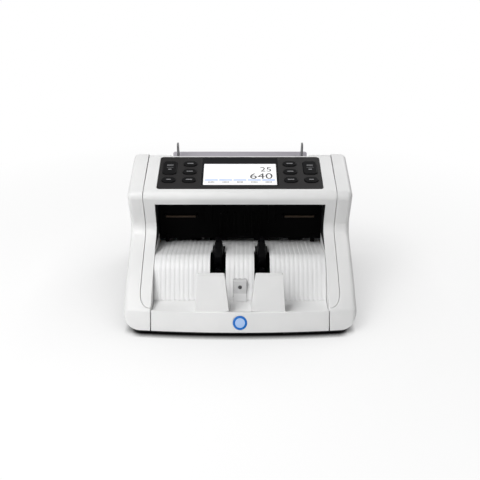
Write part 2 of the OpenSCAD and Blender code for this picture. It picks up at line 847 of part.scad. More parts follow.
// Dark wall behind the stacker opening, with the inner side of the note path
// Note path from a point past the feed nip, round the bend and on over the drum
function chute_path(start) = rounded_path([
    nip_point - start * hopper_dir,
    [chute_corner.x, chute_corner.y, chute_r],
    [drum_axle.x - drum_r, path_z]
]);
module upper_guide() {
    tab_w = 6;
    color("#1c1c1e") difference() {
        union() {
            translate([-guide_x, wall_y, guide_low_z]) cube([2 * guide_x, wall, guide_top_z - guide_low_z]);
            along_x(-guide_x, guide_x) difference() {
                polygon(strip(chute_path(9), -chute_t, -chute_gap));
                translate([pinch_axle.x + 4 - overall_d, 0]) square([overall_d, overall_h]);
            }
            both_sides() {
                along_x(guide_x - wall, guide_x) polygon([
                    [wall_y, guide_low_z + 4],
                    [wall_y, upper_tie.y + 8],
                    upper_tie + [8, 8],
                    upper_tie + [8, -12],
                    nip_point - 12 * hopper_dir + 1.6 * hopper_out,
                    [pinch_axle.x + 8, pinch_axle.y - 4],
                    [pinch_axle.x - 8, pinch_axle.y + 2]
                ]);
                translate([guide_x - 11 - tab_w, wall_y - 1, guide_low_z - 5]) cube([tab_w, wall, 12]);
                translate([39, wall_y - 4, guide_low_z + 24]) cube([9, 4.5, guide_top_z - guide_low_z - 24]);
                for (x = rod_x) translate([x - 1.5, wall_y - 5, rod_z - 3]) cube([3, 5.5, 6]);
                for (x = [6, 16, 26]) translate([x, wall_y - 2.5, guide_low_z + 6]) cube([3, 3, 34]);
            }
        }
        rod(pinch_axle, -half_w, half_w, pinch_r + 1);
        rod(retard_axle, -26, 26, retard_r + 4);
        rod(upper_tie, -half_w, half_w, tie_r + run_fit);
        both_sides() rod(rod_axle, rod_x[0] - 1, rod_x[1] + 1, rod_r + run_fit);
    }
}
module guide_rods() {
    color("tan") both_sides() rod(rod_axle, rod_x[0] - 1, rod_x[1] + 1, rod_r);
}
module lower_guide() {
    color("#1c1c1e") difference() {
        along_x(-guide_x, guide_x) difference() {
            polygon(strip(chute_path(10), chute_t, chute_gap));
            translate([drum_axle.x + 4 - overall_d, 0]) square([overall_d, overall_h]);
        }
        rod(drum_axle, -half_w, half_w, drum_r + 1);
        rod(feed_axle, -half_w, half_w, feed_r + fit);
    }
}

// Retard roller and the block that hangs it from the upper tie
module retard_block() {
    ear_t = 3;
    ear_r = 4.5;
    boss_r = 6;
    x0 = retard_w / 2 + fit;
    color("#2a2a2c") difference() {
        union() {
            both_sides() along_x(x0, x0 + ear_t) union() {
                translate(retard_axle) circle(ear_r);
                translate(upper_tie) circle(boss_r);
                polygon([
                    upper_tie + [-boss_r, 0],
                    upper_tie + [boss_r, 0],
                    retard_axle + [ear_r, 0],
                    retard_axle + [-ear_r, 0]
                ]);
            }
            rod(upper_tie, -x0 - 1, x0 + 1, boss_r);
        }
        rod(upper_tie, -half_w, half_w, tie_r + run_fit);
        rod(retard_axle, -half_w, half_w, retard_pin_r + run_fit);
    }
}
module retard_roller() {
    color("#3a3a3c") {
        rod(retard_axle, -retard_w / 2, retard_w / 2, retard_r);
        rod(retard_axle, -retard_w / 2 - 5, retard_w / 2 + 5, retard_pin_r);
    }
}

// Hopper plate with its roller windows and guide slots
module hopper_plate() {
    slot_in = guide_mid - guide_travel - guide_t / 2 - fit;
    slot_out = guide_mid + guide_spare + guide_t / 2 + fit;
    cut_z = -2 * hopper_plate_t;
    cut_h = 4 * hopper_plate_t;
    color("lightslategray") on_hopper() difference() {
        translate([0, (hopper_start + hopper_l) / 2, 0])
            rounded_slab(hopper_w, hopper_l - hopper_start, -hopper_plate_t, 0, 3);
        both_sides() {
            translate([kicker_x - kicker_w / 2 - 1, kicker_s - kicker_r, cut_z])
                cube([kicker_w + 2, 2 * kicker_r, cut_h]);
            translate([slot_in, guide_slot_s - fit, cut_z])
                cube([slot_out - slot_in, guide_slot_l + 2 * fit, cut_h]);
        }
    }
}
function plate_point(s, n) = hopper_foot + s * hopper_dir + n * hopper_out;
module note_guide() {
    low = plate_point(12, fit);
    waist_y = deck_end.x + 5.5;
    foot_z = -hopper_plate_t - fit - guide_foot_t;
    color("dimgray") {
        along_x(guide_mid - guide_t / 2, guide_mid + guide_t / 2) polygon(rounded_loop([
            [low.x, low.y],
            plate_point(11, 5),
            [waist_y, hopper_foot.y + 24],
            [waist_y, overall_h, 3.5],
            [waist_y + guide_top_l, overall_h, 3.5],
            plate_point(guide_plate_s, fit)
        ]));
        on_hopper() translate([guide_mid - guide_t / 2, guide_slot_s, foot_z])
            cube([guide_t, guide_slot_l, -foot_z + fit + 1]);
        on_hopper() translate([guide_mid - guide_t / 2, guide_slot_s - guide_foot_l, foot_z])
            cube([guide_t, guide_slot_l + 2 * guide_foot_l, guide_foot_t]);
    }
}
module right_note_guide() {
    note_guide();
}
module left_note_guide() {
    mirror([1, 0, 0]) note_guide();
}

// Base plate, feet and chassis
module base_plate() {
    color("#161618") difference() {
        union() {
            intersection() {
                translate([0, front_y + base_inset + bow_r, 0]) cylinder(h = shell_z, r = bow_r, $fn = 360);
                translate([-base_x, front_y, foot_h]) cube([2 * base_x, overall_d - 3, base_t]);
            }
            for (p = posts) translate([p.x, p.y, foot_h]) cylinder(h = base_t + post_h, r = post_r);
        }
        for (p = foot_places) translate([p.x, p.y, 0]) cylinder(h = 2 * shell_z, r = peg_r + run_fit);
        for (p = screw_places) translate([p.x, p.y, 0]) cylinder(h = 2 * shell_z, r = screw_r + run_fit);
    }
}
module rubber_feet() {
    color("#101010") for (p = foot_places) translate([p.x, p.y, 0]) {
        cylinder(h = foot_h, r = foot_r);
        cylinder(h = shell_z, r = peg_r);
    }
}
module base_screws() {
    color("silver") for (p = screw_places) translate([p.x, p.y, 0]) {
        translate([0, 0, foot_h - screw_head_t]) cylinder(h = screw_head_t, r = screw_head_r);
        translate([0, 0, foot_h - screw_head_t / 2]) cylinder(h = base_t + plate_t + 2, r = screw_r);
    }
}
module side_plate() {
    front = crest.x - 10;
    bores = [wheel_axle, drum_axle, feed_axle];
    light_bores = [pinch_axle, kicker_axle];
    difference() {
        union() {
            along_x(plate_x, plate_out_x) polygon(rounded_loop([
                [front, shell_z, 0],
                [front, shell_z + 45, 6],
                [recess.x - 16, recess.y - 17, 6],
                [recess.x + 10, recess.y + 2, 10],
                [recess.x + 6, soffit_z - 2, 6],
                [inner_y + 2, soffit_z - 2, 3],
                [deck_end.x - 14, deck_end.y - 18, 6],
                [deck_end.x - 9, throat_z - 3, 3],
                [deck_end.x, throat_z - 3, 3],
                [kicker_axle.x - 9, kicker_axle.y + 14, 8],
                [kicker_axle.x + 4, kicker_axle.y + 14, 8],
                [plate_back_y - 3, kicker_axle.y - 12, 8],
                [plate_back_y, shell_z, 0]
            ]));
            translate([plate_x - flange_w, front, shell_z])
                cube([flange_w + plate_t, plate_back_y - front, plate_t]);
        }
        for (b = bores) rod(b, 0, half_w, bearing_r + run_fit);
        for (b = light_bores) rod(b, 0, half_w, bearing_r - shaft_r + light_r + run_fit);
        for (t = ties) rod(t, 0, half_w, tie_r + run_fit);
        rod(motor_axle, 0, half_w, 6);
        for (p = screw_places) translate([abs(p.x), p.y, 0]) cylinder(h = 2 * leg_z, r = screw_r + run_fit);
    }
}
module right_side_plate() {
    color("lightsteelblue") side_plate();
}
module left_side_plate() {
    color("lightsteelblue") mirror([1, 0, 0]) side_plate();
}
module tie_rods() {
    color("silver") for (t = ties) {
        rod(t, -plate_out_x - 2, plate_out_x + 2, tie_r);
        both_sides() rod(t, plate_out_x, plate_out_x + 2.5, tie_r + 2);
    }
}
module bearing(axle, r) {
    difference() {
        union() {
            rod(axle, plate_x - 0.5, plate_out_x + bearing_flange, r + 2.5);
            rod(axle, plate_out_x, plate_out_x + bearing_flange, r + 4.5);
        }
        rod(axle, 0, half_w, r + run_fit);
    }
}
module shaft_bearings() {
    color("goldenrod") both_sides() {
        for (a = [wheel_axle, drum_axle, feed_axle]) bearing(a, shaft_r);
        for (a = [pinch_axle, kicker_axle]) bearing(a, light_r);
    }
}

// Motor, shafts, rollers, pulleys and belts
module drive_motor() {
    color("gray") difference() {
        union() {
            rod(motor_axle, plate_x - 54, plate_x, motor_r);
            rod(motor_axle, plate_x - 58, plate_x - 53, 7);
            rod(motor_axle, plate_x - 1, plate_out_x + bearing_flange, 5.9);
        }
        rod(motor_axle, plate_x - 20, half_w, 2.5 + run_fit);
    }
}
module pulley(axle, x0, r) {
    rod(axle, x0, x0 + lane_w, r);
    for (x = [x0 - flange_t, x0 + lane_w]) rod(axle, x, x + flange_t, r + flange_h);
}
module bored_pulley(axle, x0, r) {
    difference() {
        pulley(axle, x0, r);
        rod(axle, -half_w, half_w, shaft_r);
    }
}
module motor_pulley() {
    color("silver") {
        pulley(motor_axle, lane_1, motor_pulley_r);
        rod(motor_axle, plate_x - 18, lane_1 + lane_w + 2, 2.5);
    }
}
// Outline of a belt round two pulleys: an arc on each, joined by the tangents
function band(a, b, ra, rb) =
    let (
        u = unit(b - a),
        lean = acos((ra - rb) / norm(b - a)),
        steps = 14
    )
    concat(
        [for (k = [0:steps]) a + ra * turned(u, lean + (360 - 2 * lean) * k / steps)],
        [for (k = [0:steps]) b + rb * turned(u, -lean + 2 * lean * k / steps)]
    );
module belt(a, b, ra, rb, x0) {
    color("#202022") along_x(x0 + 0.5, x0 + 0.5 + belt_w) difference() {
        polygon(band(a, b, ra + fit + belt_t, rb + fit + belt_t));
        polygon(band(a, b, ra + fit, rb + fit));
    }
}
module transport_belt() {
    belt(motor_axle, drum_axle, motor_pulley_r, drum_pulley_r, lane_1);
}
module feed_belt() {
    belt(drum_axle, feed_axle, drum_feed_r, feed_pulley_r, lane_2);
}
module stacker_belt() {
    belt(drum_axle, wheel_axle, drum_stack_r, stack_pulley_r, -lane_1 - lane_w);
}
module kicker_belt() {
    belt(feed_axle, kicker_axle, feed_kick_r, kick_pulley_r, -lane_1 - lane_w);
}
module drum_shaft() {
    color("silver") rod(drum_axle, -lane_1 - lane_w - 2, shaft_end_x, shaft_r);
}
module grooved_roller(axle, x, w, r, bore) {
    groove = 0.6;
    difference() {
        rod(axle, x - w / 2, x + w / 2, r);
        difference() {
            rod(axle, x - w / 6, x + w / 6, r + 1);
            rod(axle, x - w / 2, x + w / 2, r - groove);
        }
        rod(axle, -half_w, half_w, bore);
    }
}
module drum_rollers() {
    color("#303034") for (x = drum_roller_x)
        grooved_roller(drum_axle, x, drum_roller_w, drum_r, shaft_r);
}
module drum_pulleys() {
    color("whitesmoke") {
        bored_pulley(drum_axle, lane_1, drum_pulley_r);
        bored_pulley(drum_axle, lane_2, drum_feed_r);
        bored_pulley(drum_axle, -lane_1 - lane_w, drum_stack_r);
    }
}
module pinch_rollers() {
    color("#303034") {
        rod(pinch_axle, -plate_out_x - 3, plate_out_x + 3, light_r);
        for (x = drum_roller_x) rod(pinch_axle, x - pinch_w / 2, x + pinch_w / 2, pinch_r);
    }
}
module stacker_shaft() {
    color("silver") rod(wheel_axle, -lane_1 - lane_w - 2, plate_out_x + 3, shaft_r);
}
module stacker_pulley() {
    color("whitesmoke") bored_pulley(wheel_axle, -lane_1 - lane_w, stack_pulley_r);
}

// Stacker wheel: curved fingers that narrow towards their tips
function finger_r(t) = hub_r - 2 + (wheel_r - hub_r + 2) * t;
function finger_edge(width_root, width_tip) = [
    for (k = [0:finger_steps])
        let (t = k / finger_steps)
        finger_r(t) * turned([1, 0], -finger_sweep * pow(t, 1.4) + width_root + (width_tip - width_root) * t)
];
function finger_outline() =
    concat(finger_edge(0, 0), reversed(finger_edge(finger_root_angle, finger_tip_angle)));
module wheel_outline() {
    circle(hub_r);
    for (k = [0:finger_count - 1]) rotate(360 * k / finger_count) polygon(finger_outline());
}
module stacker_wheel(x) {
    color("#0c0c0e") difference() {
        union() {
            intersection() {
                translate([0, wheel_axle.x, wheel_axle.y])
                    along_x(x - wheel_root_w / 2, x + wheel_root_w / 2) wheel_outline();
                translate([x, wheel_axle.x, wheel_axle.y]) rotate([0, 90, 0]) rotate_extrude() polygon([
                    [0, -wheel_root_w / 2],
                    [hub_r + 4, -wheel_root_w / 2],
                    [wheel_r + 1, -wheel_tip_w / 2],
                    [wheel_r + 1, wheel_tip_w / 2],
                    [hub_r + 4, wheel_root_w / 2],
                    [0, wheel_root_w / 2]
                ]);
            }
            rod(wheel_axle, x - collar_w / 2, x + collar_w / 2, collar_r);
        }
        rod(wheel_axle, -half_w, half_w, shaft_r);
    }
}
module left_stacker_wheel() {
    stacker_wheel(-wheel_gap / 2);
}
module right_stacker_wheel() {
    stacker_wheel(wheel_gap / 2);
}
module feed_shaft() {
    color("silver") rod(feed_axle, -lane_1 - lane_w - 2, shaft_end_x, shaft_r);
}
module feed_rollers() {
    color("#404044") for (x = feed_roller_x)
        grooved_roller(feed_axle, x, feed_roller_w, feed_r, shaft_r);
}
module feed_pulleys() {
    color("whitesmoke") {
        bored_pulley(feed_axle, lane_2, feed_pulley_r);
        bored_pulley(feed_axle, -lane_1 - lane_w, feed_kick_r);
    }
}
module kicker_rollers() {
    color("#404044") {
        rod(kicker_axle, -lane_1 - lane_w - 2, plate_out_x + 3, light_r);
        for (x = [-kicker_x, kicker_x]) rod(kicker_axle, x - kicker_w / 2, x + kicker_w / 2, kicker_r);
        pulley(kicker_axle, -lane_1 - lane_w, kick_pulley_r);
    }
}

// Circuit boards
module main_board() {
    z = shell_z + post_h;
    y0 = main_post_y[0] - post_rim;
    board_x = main_post_x + post_rim;
    board_l = main_post_y[1] - main_post_y[0] + 2 * post_rim;
    color("darkgreen") {
        translate([-board_x, y0, z]) cube([2 * board_x, board_l, board_t]);
        for (x = [-70, -30, 20, 64]) translate([x, y0 + 34, z + board_t - 0.1]) cube([14, 14, 3]);
        translate([-84, y0 + 48, z + board_t - 0.1]) cube([60, 7, 8]);
    }
}
module power_board() {
    z = shell_z + post_h;
    y0 = power_post_y[0] - post_rim;
    board_w = power_post_x[1] - power_post_x[0] + 2 * post_rim;
    board_l = power_post_y[1] - power_post_y[0] + 2 * post_rim;
    color("darkgreen") {
        translate([power_post_x[0] - post_rim, y0, z]) cube([board_w, board_l, board_t]);
        translate([-60, y0 + 15, z + board_t - 0.1]) cube([30, 20, 22]);
        for (x = [-84, -74]) translate([x, y0 + 25, z + board_t - 0.1]) cylinder(h = 18, r = 4.5);
    }
}

// Mains inlet, switch bezel and rocker
module power_inlet() {
    color("#141414") translate([inlet_x, back_y, fitting_z]) {
        difference() {
            union() {
                translate([0, -wall / 2, 0]) cube([inlet_w, wall, inlet_h], center = true);
                translate([0, -fitting_depth / 2, 0])
                    cube([inlet_w - 3, fitting_depth, inlet_h - 3], center = true);
            }
            cube([socket_w, 2 * socket_d, socket_h], center = true);
        }
        for (p = [[-7, -2], [7, -2], [0, 2]])
            translate([p.x, -socket_d + blade_l / 2 - 1, p.y]) cube([2, blade_l, 4], center = true);
    }
}
module switch_bezel() {
    hole_w = rocker_w + 2 * fit;
    hole_h = bezel_h - 2 * bezel_rim;
    color("#141414") difference() {
        translate([switch_x, back_y - bezel_depth / 2, fitting_z])
            cube([bezel_w, bezel_depth, bezel_h], center = true);
        translate([switch_x, back_y - bezel_depth / 2 + bezel_rim, fitting_z])
            cube([hole_w, bezel_depth, hole_h], center = true);
        rod(rocker_axle, switch_x - bezel_w, switch_x + bezel_w, rocker_pin_r + run_fit);
    }
}
module power_rocker() {
    half_h = bezel_h / 2 - bezel_rim - 1;
    color("#0c0c0c") {
        translate([0, rocker_axle.x, rocker_axle.y])
            along_x(switch_x - rocker_w / 2, switch_x + rocker_w / 2) rotate(rocker_tilt) polygon([
                [2.6, 0],
                [1.6, half_h],
                [-3, half_h - 0.8],
                [-3, -half_h + 0.8],
                [1.6, -half_h]
            ]);
        rod(rocker_axle, switch_x - rocker_w / 2 - 1.6, switch_x + rocker_w / 2 + 1.6, rocker_pin_r);
    }
}

base_plate();
rubber_feet();
left_side_cover();
right_side_cover();
upper_housing();
rear_cover();
stacker_tray();
stacker_ramp();
blank_badge();
stack_sensor();
stack_sensor_lens();
control_panel();
display_window();
display_board();
upper_guide();
guide_rods();
lower_guide();
hopper_plate();
left_side_plate();
right_side_plate();
tie_rods();
shaft_bearings();
drive_motor();
transport_belt();
stacker_belt();
feed_belt();
kicker_belt();
power_board();
main_board();
power_inlet();
switch_bezel();
retard_block();
retard_roller();
base_screws();
motor_pulley();
drum_shaft();
drum_rollers();
drum_pulleys();
pinch_rollers();
stacker_shaft();
left_stacker_wheel();
right_stacker_wheel();
stacker_pulley();
feed_shaft();
feed_rollers();
feed_pulleys();
kicker_rollers();
left_note_guide();
right_note_guide();
power_rocker();
left_large_key();
left_corner_key();
left_front_key();
left_middle_key();
left_rear_key();
right_large_key();
right_corner_key();
right_front_key();
right_middle_key();
right_rear_key();
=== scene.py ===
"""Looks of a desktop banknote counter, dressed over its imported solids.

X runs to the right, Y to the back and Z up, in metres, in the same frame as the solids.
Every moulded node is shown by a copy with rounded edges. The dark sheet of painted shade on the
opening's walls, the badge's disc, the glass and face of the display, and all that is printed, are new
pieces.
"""

import contextlib
import json
import logging
import math
from collections.abc import Callable, Iterator
from dataclasses import dataclass
from enum import Enum

import bmesh
import bpy
from mathutils import Matrix, Vector
from mathutils.bvhtree import BVHTree

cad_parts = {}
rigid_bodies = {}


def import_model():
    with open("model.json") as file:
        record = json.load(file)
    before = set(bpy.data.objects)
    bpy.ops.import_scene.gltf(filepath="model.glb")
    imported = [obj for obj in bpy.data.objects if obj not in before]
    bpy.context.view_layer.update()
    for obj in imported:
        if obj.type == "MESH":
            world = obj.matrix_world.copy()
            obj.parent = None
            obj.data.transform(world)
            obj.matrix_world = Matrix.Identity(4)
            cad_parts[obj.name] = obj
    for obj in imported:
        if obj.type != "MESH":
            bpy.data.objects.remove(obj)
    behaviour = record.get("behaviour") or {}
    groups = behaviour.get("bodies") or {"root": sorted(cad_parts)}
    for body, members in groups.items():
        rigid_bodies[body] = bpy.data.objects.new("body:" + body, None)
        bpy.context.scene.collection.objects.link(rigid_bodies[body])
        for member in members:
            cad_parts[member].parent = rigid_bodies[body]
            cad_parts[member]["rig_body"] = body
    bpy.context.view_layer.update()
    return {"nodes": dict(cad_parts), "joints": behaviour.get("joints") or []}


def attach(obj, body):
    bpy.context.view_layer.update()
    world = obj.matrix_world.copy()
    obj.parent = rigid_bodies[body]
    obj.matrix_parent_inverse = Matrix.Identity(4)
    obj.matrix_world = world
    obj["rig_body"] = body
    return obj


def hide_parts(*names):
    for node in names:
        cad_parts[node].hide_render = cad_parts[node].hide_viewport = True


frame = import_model()

LOG = logging.getLogger("banknote_counter")
MM = 0.001
CHASSIS = "chassis"
RUB = "edge_rub"
FACING = 0.9  # A face looks along an axis where its normal has more than this share of it.
UPRIGHT = 0.99  # A normal with this share of z has no level line of its own.
RIM = 0.01 * MM  # Corners this close to a face's plane belong to it.
MERGE = 0.002 * MM  # Corners this close together are one.
FLAT = 0.5  # Faces that turn by fewer degrees are one.
STRAY = 0.6  # A corner strays where it is further off its solid than this share of the rounding.
MIX_FIRST, MIX_SECOND, MIX_OUT = 6, 7, 2  # Colour sockets of a mix node.
WHITE = (1.0, 1.0, 1.0, 1.0)
Colour = tuple[float, float, float]
Place = tuple[float, float, float]
Span = tuple[float, float]


class Surface(Enum):
    """Ways in which the skin of a finish varies."""

    MOULDED = "moulded_grain"
    RUBBER = "rubber_skin"
    TURNED = "turned_metal"
    ZINC = "zinc_spangle"
    BOARD = "board_tracks"


@dataclass(frozen=True)
class Finish:
    """One finish of the machine.

    Attributes:
        slot: The record's material slot that the finish stands for.
        colour: Main colour, linear.
        shade: Colour of the darker patches, linear.
        rough: Lowest and highest roughness.
        surface: How the skin varies.
        grain: Grain cells per metre.
        depth: Height of the grain in metres.
        mottle: Patches per metre.
        rub: How far rubbed edges go towards the rub colour.
        rub_colour: Colour of a rubbed edge, linear.
        metallic: 1 for bare metal.
        coat: Weight of a clear gloss over the skin.
        specular: Strength of the plain reflection.
        glow: Strength of a lit surface.
    """

    slot: str
    colour: Colour
    shade: Colour
    rough: Span
    surface: Surface = Surface.MOULDED
    grain: float = 1400.0
    depth: float = 0.00002
    mottle: float = 16.0
    rub: float = 0.25
    rub_colour: Colour = (0.9, 0.9, 0.9)
    metallic: float = 0.0
    coat: float = 0.0
    specular: float = 0.5
    glow: float = 0.0


WHITE_SHELL = Finish("white_shell", (0.80, 0.80, 0.795), (0.765, 0.767, 0.765), (0.40, 0.52))
# Painted shade: a darker copy of the ramp's white, for the sensor block that sits in shade between the
# stops.
SHADED_SENSOR_WHITE = Finish("ramp_white", (0.66, 0.66, 0.66), (0.62, 0.62, 0.625), (0.34, 0.46), grain=900.0)
RAMP_WHITE = Finish("ramp_white", (0.82, 0.82, 0.82), (0.79, 0.792, 0.795), (0.30, 0.42), grain=900.0)
BADGE_BLUE = Finish("badge_blue", (0.008, 0.18, 0.63), (0.007, 0.16, 0.58), (0.20, 0.28), specular=0.08)
BADGE_PALE = Finish("badge_blue", (0.45, 0.61, 0.90), (0.42, 0.58, 0.87), (0.20, 0.28), specular=0.2)
SENSOR_LENS = Finish("sensor_lens", (0.012, 0.011, 0.014), (0.008, 0.008, 0.010), (0.05, 0.10),
                     coat=0.6)
PANEL = Finish("panel_charcoal", (0.0115, 0.0107, 0.011), (0.0098, 0.0091, 0.0094), (0.42, 0.52),
               rub=0.10, rub_colour=(0.1, 0.1, 0.1), specular=0.10)
PANEL_GLOSS = Finish("panel_charcoal", (0.006, 0.006, 0.007), (0.005, 0.005, 0.006), (0.10, 0.16),
                     specular=0.05)
DISPLAY_LIT = Finish("display_white", (0.92, 0.92, 0.92), (0.90, 0.90, 0.91), (0.22, 0.30), glow=0.22)
DISPLAY_INK = Finish("display_white", (0.012, 0.012, 0.014), (0.010, 0.010, 0.012), (0.4, 0.5))
DISPLAY_BLUE = Finish("display_white", (0.45, 0.60, 0.95), (0.43, 0.58, 0.94), (0.3, 0.4))
DISPLAY_GREY = Finish("display_white", (0.20, 0.20, 0.21), (0.18, 0.18, 0.19), (0.3, 0.4))
KEY_BLACK = Finish("key_black", (0.003, 0.003, 0.0035), (0.0025, 0.0025, 0.003), (0.26, 0.34),
                   rub=0.05, rub_colour=(0.10, 0.10, 0.10), specular=0.035)
LEGEND_GREY = Finish("key_black", (0.25, 0.25, 0.26), (0.22, 0.22, 0.23), (0.45, 0.55))
BOARD_GREEN = Finish("board_green", (0.004, 0.030, 0.013), (0.010, 0.060, 0.028), (0.25, 0.40),
                     Surface.BOARD)
INNER_BLACK = Finish("inner_black", (0.0016, 0.0016, 0.0017), (0.0012, 0.0012, 0.0013), (0.42, 0.55),
                     specular=0.02, rub=0.05, rub_colour=(0.02, 0.02, 0.02))
# Painted shade: dark grey for the sheet laid over the opening's white side walls, where they lie in
# shade.
WALL_SHADE_GREY = Finish("inner_black", (0.012, 0.012, 0.012), (0.010, 0.010, 0.010), (0.42, 0.55),
                     specular=0.1)
ROD_BEIGE = Finish("rod_beige", (0.056, 0.040, 0.028), (0.045, 0.032, 0.022), (0.35, 0.45), specular=0.1)
HOPPER_GREY = Finish("hopper_grey", (0.44, 0.42, 0.46), (0.41, 0.39, 0.43), (0.30, 0.42))
GUIDE_GREY = Finish("guide_grey", (0.13, 0.13, 0.135), (0.11, 0.11, 0.115), (0.28, 0.40))
PLATE_STEEL = Finish("plate_steel", (0.55, 0.57, 0.58), (0.44, 0.46, 0.48), (0.30, 0.46),
                     Surface.ZINC, grain=110.0, metallic=1.0)
SHAFT_STEEL = Finish("shaft_steel", (0.62, 0.62, 0.62), (0.52, 0.52, 0.53), (0.18, 0.30),
                     Surface.TURNED, grain=2400.0, metallic=1.0)
BLACK_STEEL = Finish("shaft_steel", (0.020, 0.020, 0.021), (0.015, 0.015, 0.016), (0.35, 0.50),
                     Surface.TURNED, grain=2400.0, metallic=1.0)
BEARING_BRASS = Finish("bearing_brass", (0.58, 0.40, 0.17), (0.46, 0.31, 0.12), (0.25, 0.40),
                       Surface.TURNED, grain=1800.0, metallic=1.0)
MOTOR_STEEL = Finish("motor_steel", (0.34, 0.34, 0.35), (0.28, 0.28, 0.29), (0.35, 0.50),
                     Surface.TURNED, grain=900.0, metallic=1.0)
BELT_RUBBER = Finish("belt_rubber", (0.011, 0.011, 0.012), (0.016, 0.016, 0.016), (0.60, 0.80),
                     Surface.RUBBER)
ROLLER_RUBBER = Finish("roller_rubber", (0.020, 0.020, 0.022), (0.030, 0.030, 0.031), (0.55, 0.75),
                       Surface.RUBBER)
FEED_RUBBER = Finish("feed_rubber", (0.045, 0.045, 0.050), (0.060, 0.060, 0.062), (0.50, 0.70),
                     Surface.RUBBER)
PULLEY_WHITE = Finish("pulley_white", (0.72, 0.72, 0.70), (0.66, 0.66, 0.64), (0.40, 0.52))
WHEEL_BLACK = Finish("wheel_black", (0.0016, 0.0016, 0.002), (0.001, 0.001, 0.0014), (0.10, 0.16),
                     specular=0.04, rub=0.02, rub_colour=(0.1, 0.1, 0.1))
BASE_BLACK = Finish("base_black", (0.006, 0.006, 0.007), (0.005, 0.005, 0.005), (0.50, 0.65))
FOOT_RUBBER = Finish("foot_rubber", (0.008, 0.008, 0.008), (0.013, 0.013, 0.013), (0.70, 0.85),
                     Surface.RUBBER)
FITTING_BLACK = Finish("fitting_black", (0.009, 0.009, 0.009), (0.007, 0.007, 0.007), (0.30, 0.45))


def new_group(name: str, inputs: dict[str, float], outputs: tuple[str, ...]) -> bpy.types.NodeTree:
    """Starts a shader node group that reads a vector and some numbers.

    Args:
        name: Name of the group.
        inputs: Number inputs with their first values.
        outputs: Names of the number outputs.

    Returns:
        The group's tree, with its input and output nodes placed.
    """
    tree = bpy.data.node_groups.new(name, "ShaderNodeTree")
    tree.interface.new_socket("Vector", in_out="INPUT", socket_type="NodeSocketVector")
    for label, value in inputs.items():
        socket = tree.interface.new_socket(label, in_out="INPUT", socket_type="NodeSocketFloat")
        socket.default_value = value
    for label in outputs:
        tree.interface.new_socket(label, in_out="OUTPUT", socket_type="NodeSocketFloat")
    tree.nodes.new("NodeGroupInput").name = "In"
    tree.nodes.new("NodeGroupOutput").name = "Out"
    return tree


def fill_inputs(tree: bpy.types.NodeTree, node: bpy.types.Node, inputs: dict[int | str, object]) -> None:
    """Links or sets the inputs of a node.

    Args:
        tree: The tree that the node is in.
        node: The node.
        inputs: The socket or the value that each input takes.
    """
    for name, value in inputs.items():
        if isinstance(value, bpy.types.NodeSocket):
            tree.links.new(value, node.inputs[name])
        else:
            node.inputs[name].default_value = value


def add_node(
    tree: bpy.types.NodeTree, kind: str, inputs: dict[int | str, object], **settings: object
) -> bpy.types.bpy_prop_collection:
    """Adds a shader node, with its inputs linked or set.

    Args:
        tree: The tree that it goes in.
        kind: Its kind, as Blender names it after ShaderNode.
        inputs: The socket or the value that each input takes.
        settings: The node's own settings.

    Returns:
        The node's outputs.
    """
    node = tree.nodes.new("ShaderNode" + kind)
    for name, value in settings.items():
        setattr(node, name, value)
    fill_inputs(tree, node, inputs)
    return node.outputs


